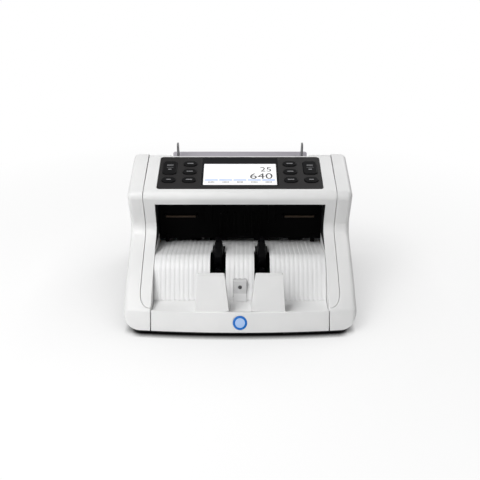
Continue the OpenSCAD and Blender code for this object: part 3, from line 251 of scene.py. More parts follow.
class FinishShop:
    """Makes each shared node group and each material once."""

    SKIN_INPUTS = {"Grain": 1000.0, "Mottle": 16.0, "Rough Low": 0.4, "Rough High": 0.5}
    SKIN_OUTPUTS = ("Height", "Roughness", "Patch")
    PATCH_DETAIL = 3.0
    PATCH_SPAN = (0.35, 0.65)
    GRAIN_SHARE = 0.5
    GRAIN_DETAIL = 2.0
    RUBBER_DETAIL = 4.0
    GRAIN_ROUGHNESS = 0.6
    TURNED_SCALE = (1.0, 0.02, 0.02)
    RUB_SCALE = 60.0
    RUB_START = 0.2
    BUMP_STRENGTH = 0.35
    COAT_ROUGHNESS = 0.06

    def __init__(self) -> None:
        """Builds the skin groups and the edge group."""
        self.skins = {kind: self._skin(kind) for kind in Surface}
        self.edges = self._rubbed_edges()
        self.made: dict[Finish, bpy.types.Material] = {}

    def _skin(self, kind: Surface) -> bpy.types.NodeTree:
        """Builds the group of one kind of skin.

        Args:
            kind: The kind of skin.

        Returns:
            The group's tree.
        """
        tree = new_group(kind.value, self.SKIN_INPUTS, self.SKIN_OUTPUTS)
        put = tree.nodes["In"].outputs
        grain = self._grain(tree, kind)
        cloud = {"Vector": put["Vector"], "Scale": put["Mottle"], "Detail": self.PATCH_DETAIL}
        patch = add_node(tree, "TexNoise", cloud)["Fac"]
        low, high = self.PATCH_SPAN
        clear = {"Value": patch, "From Min": low, "From Max": high}
        spread = add_node(tree, "MapRange", clear)["Result"]
        half = add_node(tree, "Math", {0: spread, 1: 1.0 - self.GRAIN_SHARE}, operation="MULTIPLY")[0]
        sums = {0: grain, 1: self.GRAIN_SHARE, 2: half}
        both = add_node(tree, "Math", sums, operation="MULTIPLY_ADD")[0]
        limits = {"Value": both, "To Min": put["Rough Low"], "To Max": put["Rough High"]}
        rough = add_node(tree, "MapRange", limits)["Result"]
        tone = grain if kind in (Surface.BOARD, Surface.ZINC) else spread
        fill_inputs(tree, tree.nodes["Out"], {"Height": grain, "Roughness": rough, "Patch": tone})
        return tree

    def _grain(self, tree: bpy.types.NodeTree, kind: Surface) -> bpy.types.NodeSocket:
        """Adds the fine pattern of one kind of skin.

        Args:
            tree: The group's tree.
            kind: The kind of skin.

        Returns:
            The socket that gives the pattern, from 0 to 1.
        """
        put = tree.nodes["In"].outputs
        where = put["Vector"]
        if kind in (Surface.ZINC, Surface.BOARD):
            metric = "CHEBYCHEV" if kind is Surface.BOARD else "EUCLIDEAN"
            inputs = {"Vector": where, "Scale": put["Grain"]}
            cells = add_node(tree, "TexVoronoi", inputs, distance=metric)
            if kind is Surface.BOARD:
                return cells["Distance"]
            return add_node(tree, "SeparateColor", {"Color": cells["Color"]})[0]
        if kind is Surface.TURNED:
            where = add_node(tree, "Mapping", {"Vector": where, "Scale": self.TURNED_SCALE})["Vector"]
        noise = {
            "Vector": where,
            "Scale": put["Grain"],
            "Detail": self.RUBBER_DETAIL if kind is Surface.RUBBER else self.GRAIN_DETAIL,
            "Roughness": self.GRAIN_ROUGHNESS,
        }
        return add_node(tree, "TexNoise", noise)["Fac"]

    def _rubbed_edges(self) -> bpy.types.NodeTree:
        """Builds the group that lightens rounded edges in uneven stretches.

        Returns:
            The group's tree.
        """
        tree = new_group("rubbed_edges", {"Rub": self.RUB_START}, ("Mask",))
        put = tree.nodes["In"].outputs
        edge = add_node(tree, "Attribute", {}, attribute_name=RUB)["Fac"]
        uneven = add_node(tree, "TexNoise", {"Vector": put["Vector"], "Scale": self.RUB_SCALE})["Fac"]
        patchy = add_node(tree, "Math", {0: edge, 1: uneven}, operation="MULTIPLY")[0]
        mask = add_node(tree, "Math", {0: patchy, 1: put["Rub"]}, operation="MULTIPLY")[0]
        fill_inputs(tree, tree.nodes["Out"], {"Mask": mask})
        return tree

    def material(self, finish: Finish) -> bpy.types.Material:
        """Gives the material of a finish.

        Args:
            finish: The finish.

        Returns:
            Its material, made on first use.
        """
        if finish not in self.made:
            self.made[finish] = self._build(finish)
        return self.made[finish]

    def _build(self, finish: Finish) -> bpy.types.Material:
        """Builds the material of a finish.

        Args:
            finish: The finish.

        Returns:
            The new material.
        """
        made = bpy.data.materials.new(finish.slot)
        made.use_nodes = True
        made.diffuse_color = (*finish.colour, 1.0)
        tree = made.node_tree
        where = add_node(tree, "TexCoord", {})["Object"]
        low, high = finish.rough
        sizes = {"Vector": where, "Grain": finish.grain, "Mottle": finish.mottle}
        sizes |= {"Rough Low": low, "Rough High": high}
        skin = add_node(tree, "Group", sizes, node_tree=self.skins[finish.surface])
        edge = add_node(tree, "Group", {"Vector": where, "Rub": finish.rub}, node_tree=self.edges)
        patches = self._mix(tree, (*finish.colour, 1.0), finish.shade, skin["Patch"])
        grain = {"Height": skin["Height"], "Strength": self.BUMP_STRENGTH, "Distance": finish.depth}
        shading = {
            "Base Color": self._mix(tree, patches, finish.rub_colour, edge["Mask"]),
            "Roughness": skin["Roughness"],
            "Normal": add_node(tree, "Bump", grain)["Normal"],
            "Metallic": finish.metallic,
            "Specular IOR Level": finish.specular,
            "Coat Weight": finish.coat,
            "Coat Roughness": self.COAT_ROUGHNESS,
        }
        if finish.glow:
            shading |= {"Emission Color": (*finish.colour, 1.0), "Emission Strength": finish.glow}
        fill_inputs(tree, tree.nodes["Principled BSDF"], shading)
        return made

    @staticmethod
    def _mix(
        tree: bpy.types.NodeTree,
        first: tuple[float, ...] | bpy.types.NodeSocket,
        second: Colour,
        mask: bpy.types.NodeSocket,
    ) -> bpy.types.NodeSocket:
        """Adds a colour mix to a material.

        Args:
            tree: The material's tree.
            first: Colour where the mask is 0, or the socket that gives it.
            second: Colour where the mask is 1.
            mask: Socket of the mask.

        Returns:
            The socket of the mixed colour.
        """
        inputs = {0: mask, MIX_FIRST: first, MIX_SECOND: (*second, 1.0)}
        return add_node(tree, "Mix", inputs, data_type="RGBA")[MIX_OUT]


def make_active(piece: bpy.types.Object) -> None:
    """Selects one object alone and makes it active.

    Args:
        piece: The object.
    """
    bpy.ops.object.select_all(action="DESELECT")
    piece.select_set(True)
    bpy.context.view_layer.objects.active = piece


def named(name: str) -> bpy.types.Object:
    """Names the active object and its data.

    Args:
        name: The name.

    Returns:
        The object.
    """
    piece = bpy.context.active_object
    piece.name = piece.data.name = name
    return piece


def copy_of(node: str, name: str) -> bpy.types.Object:
    """Copies a node's mesh into a new object.

    Args:
        node: The node.
        name: Name of the new object.

    Returns:
        The new object.
    """
    piece = bpy.data.objects.new(name, frame["nodes"][node].data.copy())
    bpy.context.scene.collection.objects.link(piece)
    return piece


@contextlib.contextmanager
def editing(piece: bpy.types.Object) -> Iterator[bmesh.types.BMesh]:
    """Opens an object in edit mode with nothing selected.

    Args:
        piece: The object.

    Yields:
        Its edit mesh, for selecting by place or normal.
    """
    make_active(piece)
    bpy.ops.object.mode_set(mode="EDIT")
    bpy.ops.mesh.select_mode(type="FACE")
    bpy.ops.mesh.select_all(action="DESELECT")
    yield bmesh.from_edit_mesh(piece.data)
    bpy.ops.object.mode_set(mode="OBJECT")


def select_edges(mesh: bmesh.types.BMesh, wanted: Callable[[bmesh.types.BMEdge], bool]) -> None:
    """Selects the edges that pass a test, and nothing else.

    Args:
        mesh: The edit mesh.
        wanted: The test.
    """
    bpy.ops.mesh.select_mode(type="EDGE")
    bpy.ops.mesh.select_all(action="DESELECT")
    for edge in mesh.edges:
        edge.select_set(wanted(edge))


def select_faces(mesh: bmesh.types.BMesh, wanted: Callable[[bmesh.types.BMFace], bool]) -> None:
    """Selects the faces that pass a test, and nothing else.

    Args:
        mesh: The edit mesh.
        wanted: The test.
    """
    bpy.ops.mesh.select_mode(type="FACE")
    bpy.ops.mesh.select_all(action="DESELECT")
    for face in mesh.faces:
        face.select_set(wanted(face))


def apply_modifiers(piece: bpy.types.Object) -> None:
    """Applies every modifier of an object in order.

    Args:
        piece: The object.
    """
    make_active(piece)
    for modifier in list(piece.modifiers):
        bpy.ops.object.modifier_apply(modifier=modifier.name)


def round_edges(piece: bpy.types.Object, edge: float, segments: int = 3, sharp: float = 35.0) -> None:
    """Rounds the sharp edges of an object and marks the new faces as rubbed.

    Args:
        piece: The object.
        edge: Width of the rounding.
        segments: Faces across the rounding.
        sharp: Least angle in degrees between the faces of an edge that is rounded.
    """
    piece.data.materials.clear()
    for _ in range(2):
        piece.data.materials.append(None)
    bevel = piece.modifiers.new("rounded_edges", "BEVEL")
    bevel.width = edge
    bevel.segments = segments
    bevel.limit_method = "ANGLE"
    bevel.angle_limit = math.radians(sharp)
    bevel.use_clamp_overlap = False
    bevel.loop_slide = False
    bevel.material = 1
    apply_modifiers(piece)
    rub = piece.data.attributes.new(RUB, "FLOAT", "FACE")
    for face, value in zip(piece.data.polygons, rub.data):
        value.value = float(face.material_index)
        face.material_index = 0
    piece.data.materials.clear()


def pull_in(piece: bpy.types.Object, solid: bpy.types.Object, reach: float) -> None:
    """Pulls corners that a rounding threw off a solid back onto it.

    Args:
        piece: The rounded copy.
        solid: The solid that it was copied from.
        reach: Distance from the solid up to which a corner stays where it is.
    """
    corners = [vertex.co for vertex in solid.data.vertices]
    tree = BVHTree.FromPolygons(corners, [list(face.vertices) for face in solid.data.polygons])
    stray = piece.vertex_groups.new(name="stray")
    for vertex in piece.data.vertices:
        if tree.find_nearest(vertex.co)[3] > reach:
            stray.add([vertex.index], 1.0, "REPLACE")
    wrap = piece.modifiers.new("pulled_in", "SHRINKWRAP")
    wrap.target = solid
    wrap.vertex_group = stray.name
    apply_modifiers(piece)
    piece.vertex_groups.clear()


def smooth(piece: bpy.types.Object, angle: float = 50.0) -> None:
    """Shades an object smooth, with flat faces kept flat.

    Args:
        piece: The object.
        angle: Edges sharper than this, in degrees, stay sharp.
    """
    make_active(piece)
    bpy.ops.object.shade_smooth_by_angle(angle=math.radians(angle))
    weighted = piece.modifiers.new("flat_faces", "WEIGHTED_NORMAL")
    weighted.keep_sharp = True
    apply_modifiers(piece)


def body_of(node: str) -> str:
    """Gives the name of the body that a node rides on."""
    return frame["nodes"][node]["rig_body"]


@dataclass
class SubAssembly:
    """A group of pieces that are dressed together.

    Attributes:
        shop: Where the finishes are made.
    """

    shop: FinishShop

    def finish_piece(
        self, piece: bpy.types.Object, finish: Finish, body: str = CHASSIS
    ) -> bpy.types.Object:
        """Gives a piece its material, slot and body.

        Args:
            piece: The piece, in place.
            finish: Its finish.
            body: The body that it rides on.

        Returns:
            The piece.
        """
        piece.data.materials.clear()
        piece.data.materials.append(self.shop.material(finish))
        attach(piece, body)
        LOG.info("piece %s on %s", piece.name, body)
        return piece

    def moulded(
        self,
        node: str,
        finish: Finish,
        edge: float,
        segments: int = 3,
        reshape: Callable[[bpy.types.Object], None] | None = None,
    ) -> bpy.types.Object:
        """Shows a node by a copy with rounded edges.

        Args:
            node: The node.
            finish: Its finish.
            edge: Width of the rounding.
            segments: Faces across the rounding.
            reshape: What is done to the copy before its edges are rounded.

        Returns:
            The copy, which replaces the node.
        """
        piece = copy_of(node, node + "_moulding")
        with editing(piece):
            bpy.ops.mesh.select_all(action="SELECT")
            bpy.ops.mesh.remove_doubles(threshold=MERGE)
            bpy.ops.mesh.dissolve_limited(angle_limit=math.radians(FLAT))
        if reshape:
            reshape(piece)
        round_edges(piece, edge, segments)
        if not reshape:
            pull_in(piece, frame["nodes"][node], STRAY * edge)
        smooth(piece)
        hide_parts(node)
        return self.finish_piece(piece, finish, body_of(node))

    def dress(self, finish: Finish, *nodes: str) -> None:
        """Gives nodes that keep their own mesh a material.

        Args:
            finish: The finish.
            nodes: The nodes.
        """
        for node in nodes:
            solid = frame["nodes"][node]
            solid.data.materials.clear()
            solid.data.materials.append(self.shop.material(finish))
            LOG.info("node %s dressed as %s", node, finish.slot)


def rounded_plate(
    name: str, width: float, length: float, thick: float, corner: float, segments: int = 6
) -> bpy.types.Object:
    """Models a plate with round corners, its underside on z = 0 and its middle on the z axis.

    Args:
        name: Name of the piece.
        width: Size along x.
        length: Size along y.
        thick: Size along z.
        corner: Radius of the four upright edges.
        segments: Faces round each of them.

    Returns:
        The plate.
    """
    bpy.ops.object.select_all(action="DESELECT")
    bpy.ops.mesh.primitive_cube_add(size=1.0, location=(0.0, 0.0, 0.0))
    piece = named(name)
    piece.data.transform(Matrix.Diagonal((width, length, thick, 1.0)))
    piece.data.transform(Matrix.Translation((0.0, 0.0, thick / 2)))
    with editing(piece) as mesh:
        select_edges(mesh, lambda edge: abs(edge.verts[0].co.z - edge.verts[1].co.z) > thick / 2)
        bpy.ops.mesh.bevel(offset=corner, segments=segments, affect="EDGES")
    return piece


def cut_away(piece: bpy.types.Object, cutter: bpy.types.Object) -> None:
    """Cuts one object out of another and removes the cutter.

    Args:
        piece: The object that is cut.
        cutter: The object that is cut away.
    """
    cut = piece.modifiers.new("cut", "BOOLEAN")
    cut.operation = "DIFFERENCE"
    cut.solver = "EXACT"
    cut.object = cutter
    apply_modifiers(piece)
    bpy.data.objects.remove(cutter)


def settle(piece: bpy.types.Object, place: Matrix) -> None:
    """Moves a piece's mesh to its place, with its object left at the origin."""
    piece.data.transform(place)
    piece.data.update()


def face_frame(node: str, towards: Vector) -> Matrix:
    """Gives the frame of a node's outermost flat face on one side.

    Args:
        node: The node.
        towards: Rough direction in which the face looks.

    Returns:
        Matrix with its origin at the face's middle, z along its normal and x level.
    """
    mesh = frame["nodes"][node].data
    best = max(mesh.polygons, key=lambda face: face.area * max(0.0, face.normal.dot(towards)))
    up = best.normal.normalized()
    level = max(vertex.co.dot(up) for vertex in mesh.vertices)
    rim = [vertex.co for vertex in mesh.vertices if vertex.co.dot(up) > level - RIM]
    low = Vector(min(point[axis] for point in rim) for axis in range(3))
    high = Vector(max(point[axis] for point in rim) for axis in range(3))
    across = Vector((1.0, 0.0, 0.0))
    if abs(up.z) < UPRIGHT:
        across = Vector((0.0, 0.0, 1.0)).cross(up).normalized()
    turn = Matrix((across, up.cross(across), up)).transposed().to_4x4()
    return Matrix.Translation((low + high) / 2) @ turn


def joined(name: str, pieces: list[bpy.types.Object]) -> bpy.types.Object:
    """Joins objects into one.

    Args:
        name: Name of the whole.
        pieces: The objects.

    Returns:
        The whole.
    """
    make_active(pieces[0])
    for piece in pieces:
        piece.select_set(True)
    bpy.ops.object.join()
    return named(name)


@dataclass
class Shell(SubAssembly):
    """The white mouldings round the machine.

    Attributes:
        edge: Rounding of the mouldings' edges.
        wall_x: Distance of the stacker opening's side walls from the middle.
        wall_play: How far off it the middle of a wall's face may be.
        wall_shade_foot: Height at which the dark sheet of painted shade on these walls starts.
        wall_shade_thick: Thickness of that sheet.
    """

    edge: float = 0.6 * MM
    wall_x: float = 113.0 * MM
    wall_play: float = 0.3 * MM
    wall_shade_foot: float = 74.0 * MM
    wall_shade_thick: float = 0.2 * MM

    def build(self) -> None:
        """Builds the covers, the housing and the dark sheet of painted shade on the stacker opening's
        walls.
        """
        for node in ("left_side_cover", "right_side_cover", "upper_housing", "rear_cover"):
            self.moulded(node, WHITE_SHELL, self.edge)
        # Painted shade: a dark sheet over the upper part of the opening's side walls.
        self.paint_wall_shade()

    def paint_wall_shade(self) -> None:
        """Models a dark sheet of painted shade on the upper part of the opening's white side walls."""
        piece = copy_of("upper_housing", "opening_wall_shade")
        with editing(piece) as mesh:
            select_faces(mesh, lambda face: not self.is_wall(face))
            bpy.ops.mesh.delete(type="FACE")
            bpy.ops.mesh.select_all(action="SELECT")
            bpy.ops.mesh.bisect(
                plane_co=(0.0, 0.0, self.wall_shade_foot), plane_no=(0.0, 0.0, 1.0), clear_inner=True
            )
        sheet = piece.modifiers.new("sheet", "SOLIDIFY")
        sheet.thickness = self.wall_shade_thick
        sheet.offset = 1.0
        apply_modifiers(piece)
        smooth(piece)
        self.finish_piece(piece, WALL_SHADE_GREY)

    def is_wall(self, face: bmesh.types.BMFace) -> bool:
        """Tells whether a face of the housing is one of the opening's side walls.

        Args:
            face: The face.

        Returns:
            True for a wall that looks at the middle.
        """
        middle = face.calc_center_median()
        inward = face.normal.x * middle.x < 0.0 and abs(face.normal.x) > FACING
        return inward and abs(abs(middle.x) - self.wall_x) < self.wall_play


@dataclass
class Stacker(SubAssembly):
    """The tray, the ribbed ramp, its sensor, the wheels and the badge.

    Attributes:
        edge: Rounding of the tray and the sensor's block.
        lens_edge: Rounding of the sensor's lens.
        wheel_edge: Rounding of the fingers.
        rib_depth: Height of the solid's ribs.
        rib_play: How far off it the drop to a floor between them may be.
        rib_tilt: Most that a floor may lean to the side, as a share of its normal.
        groove_fill: How far the floors between the ribs are raised.
        top_fill: How far they are raised again on the ramp's top.
        rib_edge: Rounding of the ribs.
        ramp_lean: Lean of the ramp's front in degrees.
        ramp_fall: Fall of the ramp's top towards the back in degrees.
        solid_round: Radius of the solid's crest, over the ribs.
        crest_round: Radius of the crest as shown, over the ribs.
        crest_depth: Depth of the skin that takes the wider round.
        crest_cuts: Cuts across the ribs on each side of the crest.
        badge_edge: Rounding of the badge.
        badge_way: Rough direction in which the badge looks.
        disc_radius: Radius of the badge's pale disc.
        disc_sides: Sides of the disc.
        disc_thick: Thickness of the disc, half of it sunk in the badge.
        disc_crown: Height of the disc's crown.
        disc_edge: Rounding of the disc.
    """

    edge: float = 0.6 * MM
    lens_edge: float = 0.5 * MM
    wheel_edge: float = 0.7 * MM
    rib_depth: float = 1.4 * MM
    rib_play: float = 0.28 * MM
    rib_tilt: float = 0.01
    groove_fill: float = 0.85 * MM
    top_fill: float = 0.2 * MM
    rib_edge: float = 0.17 * MM
    ramp_lean: float = 30.0
    ramp_fall: float = 11.0
    solid_round: float = 10.4 * MM
    crest_round: float = 26.0 * MM
    crest_depth: float = 6.0 * MM
    crest_cuts: int = 6
    badge_edge: float = 0.2 * MM
    badge_way: Place = (0.0, -1.0, 0.3)
    disc_radius: float = 6.2 * MM
    disc_sides: int = 64
    disc_thick: float = 0.3 * MM
    disc_crown: float = 0.08 * MM
    disc_edge: float = 0.05 * MM

    def build(self) -> None:
        """Builds the stacker's pieces."""
        self.moulded("stacker_tray", WHITE_SHELL, self.edge)
        self.moulded("stacker_ramp", RAMP_WHITE, self.rib_edge, segments=2, reshape=self.shape_ramp)
        self.moulded("left_stacker_wheel", WHEEL_BLACK, self.wheel_edge)
        self.moulded("right_stacker_wheel", WHEEL_BLACK, self.wheel_edge)
        # The sensor block takes the darker copy of the ramp's white: painted shade.
        self.moulded("stack_sensor", SHADED_SENSOR_WHITE, self.edge)
        self.moulded("stack_sensor_lens", SENSOR_LENS, self.lens_edge)
        self.moulded("blank_badge", BADGE_BLUE, self.badge_edge)
        self.badge_disc()
        self.dress(BLACK_STEEL, "stacker_shaft")
        self.dress(PULLEY_WHITE, "stacker_pulley")
        self.dress(BELT_RUBBER, "stacker_belt")

    def shape_ramp(self, piece: bpy.types.Object) -> None:
        """Makes the ramp's grooves shallow and its crest round."""
        self.fill_grooves(piece)
        self.widen_crest(piece)

    def widen_crest(self, piece: bpy.types.Object) -> None:
        """Gives the ramp's crest a wider round, with the ribs running over it.

        Args:
            piece: The ramp's copy.
        """
        lean, fall = math.radians(self.ramp_lean), math.radians(self.ramp_fall)
        front, top = Vector((-math.cos(lean), math.sin(lean))), Vector((math.sin(fall), math.cos(fall)))
        down, back = Vector((-front.y, front.x)), Vector((top.y, -top.x))
        middle = (front + top).normalized()
        across = Vector((middle.y, -middle.x))
        half = front.angle(top) / 2
        places = [Vector((vertex.co.y, vertex.co.z)) for vertex in piece.data.vertices]
        limits = [max(place.dot(face) for place in places) for face in (front, top)]
        corner = Matrix((front, top)).inverted() @ Vector(limits)
        old = corner - middle * self.solid_round / math.cos(half)
        new = corner - middle * self.crest_round / math.cos(half)
        ease = (self.crest_round - self.solid_round) * math.tan(half)
        reach = self.solid_round * half + ease
        with editing(piece):
            for way in (down, back):
                for number in range(1, self.crest_cuts + 1):
                    cut = old + way * ease * number / self.crest_cuts
                    bpy.ops.mesh.select_all(action="SELECT")
                    bpy.ops.mesh.bisect(plane_co=(0.0, *cut), plane_no=(0.0, *way))
        for vertex in piece.data.vertices:
            arm = Vector((vertex.co.y, vertex.co.z)) - old
            if arm.dot(back) > 0.0:
                run, height = self.solid_round * half + arm.dot(back), arm.dot(top)
            elif arm.dot(down) > 0.0:
                run, height = -self.solid_round * half - arm.dot(down), arm.dot(front)
            else:
                run, height = self.solid_round * math.atan2(arm.dot(across), arm.dot(middle)), arm.length
            height -= self.solid_round
            if abs(run) < reach and height > -self.crest_depth:
                turn = run / reach * half
                spoke = middle * math.cos(turn) + across * math.sin(turn)
                vertex.co.y, vertex.co.z = new + (self.crest_round + height) * spoke
        LOG.info("ramp crest widened to a radius of %.1f mm", self.crest_round / MM)

    def fill_grooves(self, piece: bpy.types.Object) -> None:
        """Raises the floors between the ribs, so that shallow grooves are left.

        Args:
            piece: The ramp's copy.
        """

        def way(face: bmesh.types.BMFace) -> Span:
            """Gives the direction in which a face looks, seen from the side."""
            return round(face.normal.y, 2), round(face.normal.z, 2)

        with editing(piece) as mesh:
            levels = {face: face.normal.dot(face.calc_center_median()) for face in mesh.faces}
            tops: dict[Span, float] = {}
            for face, level in levels.items():
                tops[way(face)] = max(level, tops.get(way(face), level))
            drops = {face: tops[way(face)] - level for face, level in levels.items()}
            level_faces = [face for face in drops if abs(face.normal.x) < self.rib_tilt]
            floors = {face for face in level_faces if abs(drops[face] - self.rib_depth) < self.rib_play}
            upward = {face for face in floors if face.normal.z > FACING}
            for group, fill in ((floors, self.groove_fill), (upward, self.top_fill)):
                select_faces(mesh, group.__contains__)
                LOG.info("%d groove floors raised", len(group))
                bpy.ops.transform.shrink_fatten(value=fill)

    def badge_disc(self) -> None:
        """Models the pale disc in the middle of the blue badge."""
        bpy.ops.object.select_all(action="DESELECT")
        bpy.ops.mesh.primitive_cylinder_add(
            vertices=self.disc_sides, radius=self.disc_radius, depth=self.disc_thick
        )
        disc = named("badge_disc")
        with editing(disc) as mesh:
            select_faces(mesh, lambda face: face.normal.z > FACING)
            bpy.ops.mesh.inset(thickness=self.disc_radius / 2)
            bpy.ops.transform.translate(value=(0.0, 0.0, self.disc_crown))
        round_edges(disc, self.disc_edge, segments=2)
        smooth(disc)
        settle(disc, face_frame("blank_badge", Vector(self.badge_way)))
        self.finish_piece(disc, BADGE_PALE)


@dataclass(frozen=True)
class Dash:
    """A dash on a key.

    Attributes:
        width: Size across the key.
        length: Size along the deck.
        along: Distance of its middle from the key's.
    """

    width: float
    length: float
    along: float = 0.0


@dataclass(frozen=True)
class Count:
    """A number that the display shows.

    Attributes:
        name: Name of the piece.
        figures: The number.
        right: Right edge, from the middle.
        width: Width of the whole number.
        low: Lower edge, along the deck from the panel's front edge.
        high: Upper edge.
    """

    name: str
    figures: str
    right: float
    width: float
    low: float
    high: float


@dataclass
class ControlPanel(SubAssembly):
    """The sloping panel with its display and keys.

    Attributes:
        edge: Rounding of the panel.
        key_edge: Rounding of the keys' tops.
        lens_width: Width of the dark glass round the display.
        lens_start: Front edge of the glass, along the deck from the panel's front edge.
        lens_end: Rear edge of the glass.
        lens_thick: Thickness of the glass.
        lens_corner: Radius of the glass's corners.
        lens_edge: Rounding of the glass.
        lit_width: Width of the lit area.
        lit_start: Front edge of the lit area.
        lit_end: Rear edge of the lit area.
        lit_thick: Thickness of the lit area.
        lit_sunk: Depth of the lit area under the glass's face.
        lit_corner: Radius of the lit area's corners.
        lit_edge: Rounding of the lit area.
        hole_depth: Depth of the cut through the glass.
        print_thick: Thickness of what is printed on keys and display.
        counts: The numbers on the display.
        figure_merge: Corners of the figures this close together are one, before they are sized.
        bar_count: Number of bars under the numbers.
        bar_pitch: Distance between two bars.
        bar_size: Width, length and corner radius of a bar.
        bar_along: Middle of the bars, from the panel's front edge.
        mark_reach: Number of marks on each side of a bar's middle.
        mark_pitch: Distance between two marks.
        mark_size: Width, length and corner radius of a mark.
        mark_along: Middle of the marks, from the panel's front edge.
        small_dashes: Dashes on a small key.
        corner_dashes: Dashes on a small key in a corner.
        large_dashes: Dashes on a large key.
        dash_corner: Corner radius of a dash, as a share of its length.
    """

    edge: float = 0.4 * MM
    key_edge: float = 0.9 * MM
    lens_width: float = 105.0 * MM
    lens_start: float = 6.7 * MM
    lens_end: float = 76.4 * MM
    lens_thick: float = 0.4 * MM
    lens_corner: float = 1.2 * MM
    lens_edge: float = 0.12 * MM
    lit_width: float = 98.6 * MM
    lit_start: float = 8.7 * MM
    lit_end: float = 60.7 * MM
    lit_thick: float = 1.4 * MM
    lit_sunk: float = 0.1 * MM
    lit_corner: float = 0.4 * MM
    lit_edge: float = 0.05 * MM
    hole_depth: float = 4.0 * MM
    print_thick: float = 0.04 * MM
    counts: tuple[Count, ...] = (
        Count("notes_count", "25", 42.6 * MM, 14.8 * MM, 41.6 * MM, 52.4 * MM),
        Count("sum_count", "640", 43.9 * MM, 30.2 * MM, 23.6 * MM, 37.0 * MM),
    )
    figure_merge: float = 0.0001
    bar_count: int = 5
    bar_pitch: float = 19.2 * MM
    bar_size: tuple[float, float, float] = (17.5 * MM, 3.0 * MM, 0.4 * MM)
    bar_along: float = 20.6 * MM
    mark_reach: int = 2
    mark_pitch: float = 1.8 * MM
    mark_size: tuple[float, float, float] = (1.3 * MM, 2.8 * MM, 0.2 * MM)
    mark_along: float = 15.6 * MM
    small_dashes: tuple[Dash, ...] = (Dash(8.4 * MM, 1.5 * MM),)
    corner_dashes: tuple[Dash, ...] = (Dash(6.2 * MM, 1.5 * MM),)
    large_dashes: tuple[Dash, ...] = (
        Dash(8.6 * MM, 1.5 * MM, 5.4 * MM),
        Dash(9.4 * MM, 0.4 * MM),
        Dash(4.6 * MM, 1.6 * MM, -5.0 * MM),
    )
    dash_corner: float = 0.2

    def __post_init__(self) -> None:
        """Works out the deck's place from the key joints and the panel's mesh."""
        press = next(joint for joint in frame["joints"] if joint["name"].endswith("_press"))
        up = -Vector(press["axis"]).normalized()
        back = Vector((0.0, up.z, -up.y))
        points = [vertex.co for vertex in frame["nodes"]["control_panel"].data.vertices]
        front = min(point.dot(back) for point in points)
        top = max(point.dot(up) for point in points)
        origin = front * back + top * up
        self.lit_level = self.lens_thick - self.lit_sunk
        turn = Matrix((Vector((1.0, 0.0, 0.0)), back, up)).transposed().to_4x4()
        self.deck = Matrix.Translation(origin) @ turn

    def on_deck(self, x: float, along: float, lift: float) -> Matrix:
        """Gives the placing of a piece on the deck.

        Args:
            x: Distance from the middle.
            along: Distance from the panel's front edge.
            lift: Height above the panel's face.

        Returns:
            The matrix that takes the piece there.
        """
        return self.deck @ Matrix.Translation((x, along, lift))

    def build(self) -> None:
        """Builds the panel, the display and the keys."""
        self.moulded("control_panel", PANEL, self.edge)
        self.display()
        self.display_print()
        for node in frame["nodes"]:
            if node.endswith("_key"):
                self.moulded(node, KEY_BLACK, self.key_edge, segments=4)
                self.legend(node)
        self.dress(BOARD_GREEN, "display_board")

    def legend(self, node: str) -> None:
        """Prints plain dashes on a key: one on a small key, three on a large one.

        Args:
            node: The key's node.
        """
        dashes = self.small_dashes
        if "large" in node:
            dashes = self.large_dashes
        elif "corner" in node:
            dashes = self.corner_dashes
        plates = []
        for dash in dashes:
            corner = self.dash_corner * dash.length
            plate = rounded_plate("dash", dash.width, dash.length, 2 * self.print_thick, corner)
            settle(plate, Matrix.Translation((0.0, dash.along, -self.print_thick)))
            plates.append(plate)
        whole = joined(node + "_legend", plates)
        settle(whole, face_frame(node, self.deck.to_3x3() @ Vector((0.0, 0.0, 1.0))))
        self.finish_piece(whole, LEGEND_GREY, body_of(node))

    def figures(self, count: Count) -> None:
        """Prints a number on the display.

        Args:
            count: The number and its place.
        """
        bpy.ops.object.select_all(action="DESELECT")
        bpy.ops.object.text_add(location=(0.0, 0.0, 0.0))
        text = bpy.context.active_object.data
        text.body = count.figures
        text.extrude = 1.0
        bpy.ops.object.convert(target="MESH")
        line = named(count.name)
        with editing(line):
            bpy.ops.mesh.select_all(action="SELECT")
            bpy.ops.mesh.remove_doubles(threshold=self.figure_merge)
        xs = [vertex.co.x for vertex in line.data.vertices]
        ys = [vertex.co.y for vertex in line.data.vertices]
        across = count.width / (max(xs) - min(xs))
        upward = (count.high - count.low) / (max(ys) - min(ys))
        fit = Matrix.Diagonal((across, upward, self.print_thick, 1.0))
        settle(line, fit @ Matrix.Translation((-max(xs), -min(ys), 0.0)))
        settle(line, self.on_deck(count.right, count.low, self.lit_level))
        self.finish_piece(line, DISPLAY_INK)

    def display_print(self) -> None:
        """Prints two numbers, five bars and their marks on the lit area."""
        for count in self.counts:
            self.figures(count)
        thick = 2 * self.print_thick
        sunk = self.lit_level - self.print_thick
        bar_width, bar_length, bar_corner = self.bar_size
        mark_width, mark_length, mark_corner = self.mark_size
        for number in range(self.bar_count):
            x = (number - (self.bar_count - 1) / 2) * self.bar_pitch
            bar = rounded_plate(f"display_bar_{number + 1}", bar_width, bar_length, thick, bar_corner)
            settle(bar, self.on_deck(x, self.bar_along, sunk))
            self.finish_piece(bar, DISPLAY_BLUE)
            marks = []
            for step in range(-self.mark_reach, self.mark_reach + 1):
                mark = rounded_plate("mark", mark_width, mark_length, thick, mark_corner)
                settle(mark, Matrix.Translation((step * self.mark_pitch, 0.0, 0.0)))
                marks.append(mark)
            whole = joined(f"display_marks_{number + 1}", marks)
            settle(whole, self.on_deck(x, self.mark_along, sunk))
            self.finish_piece(whole, DISPLAY_GREY)

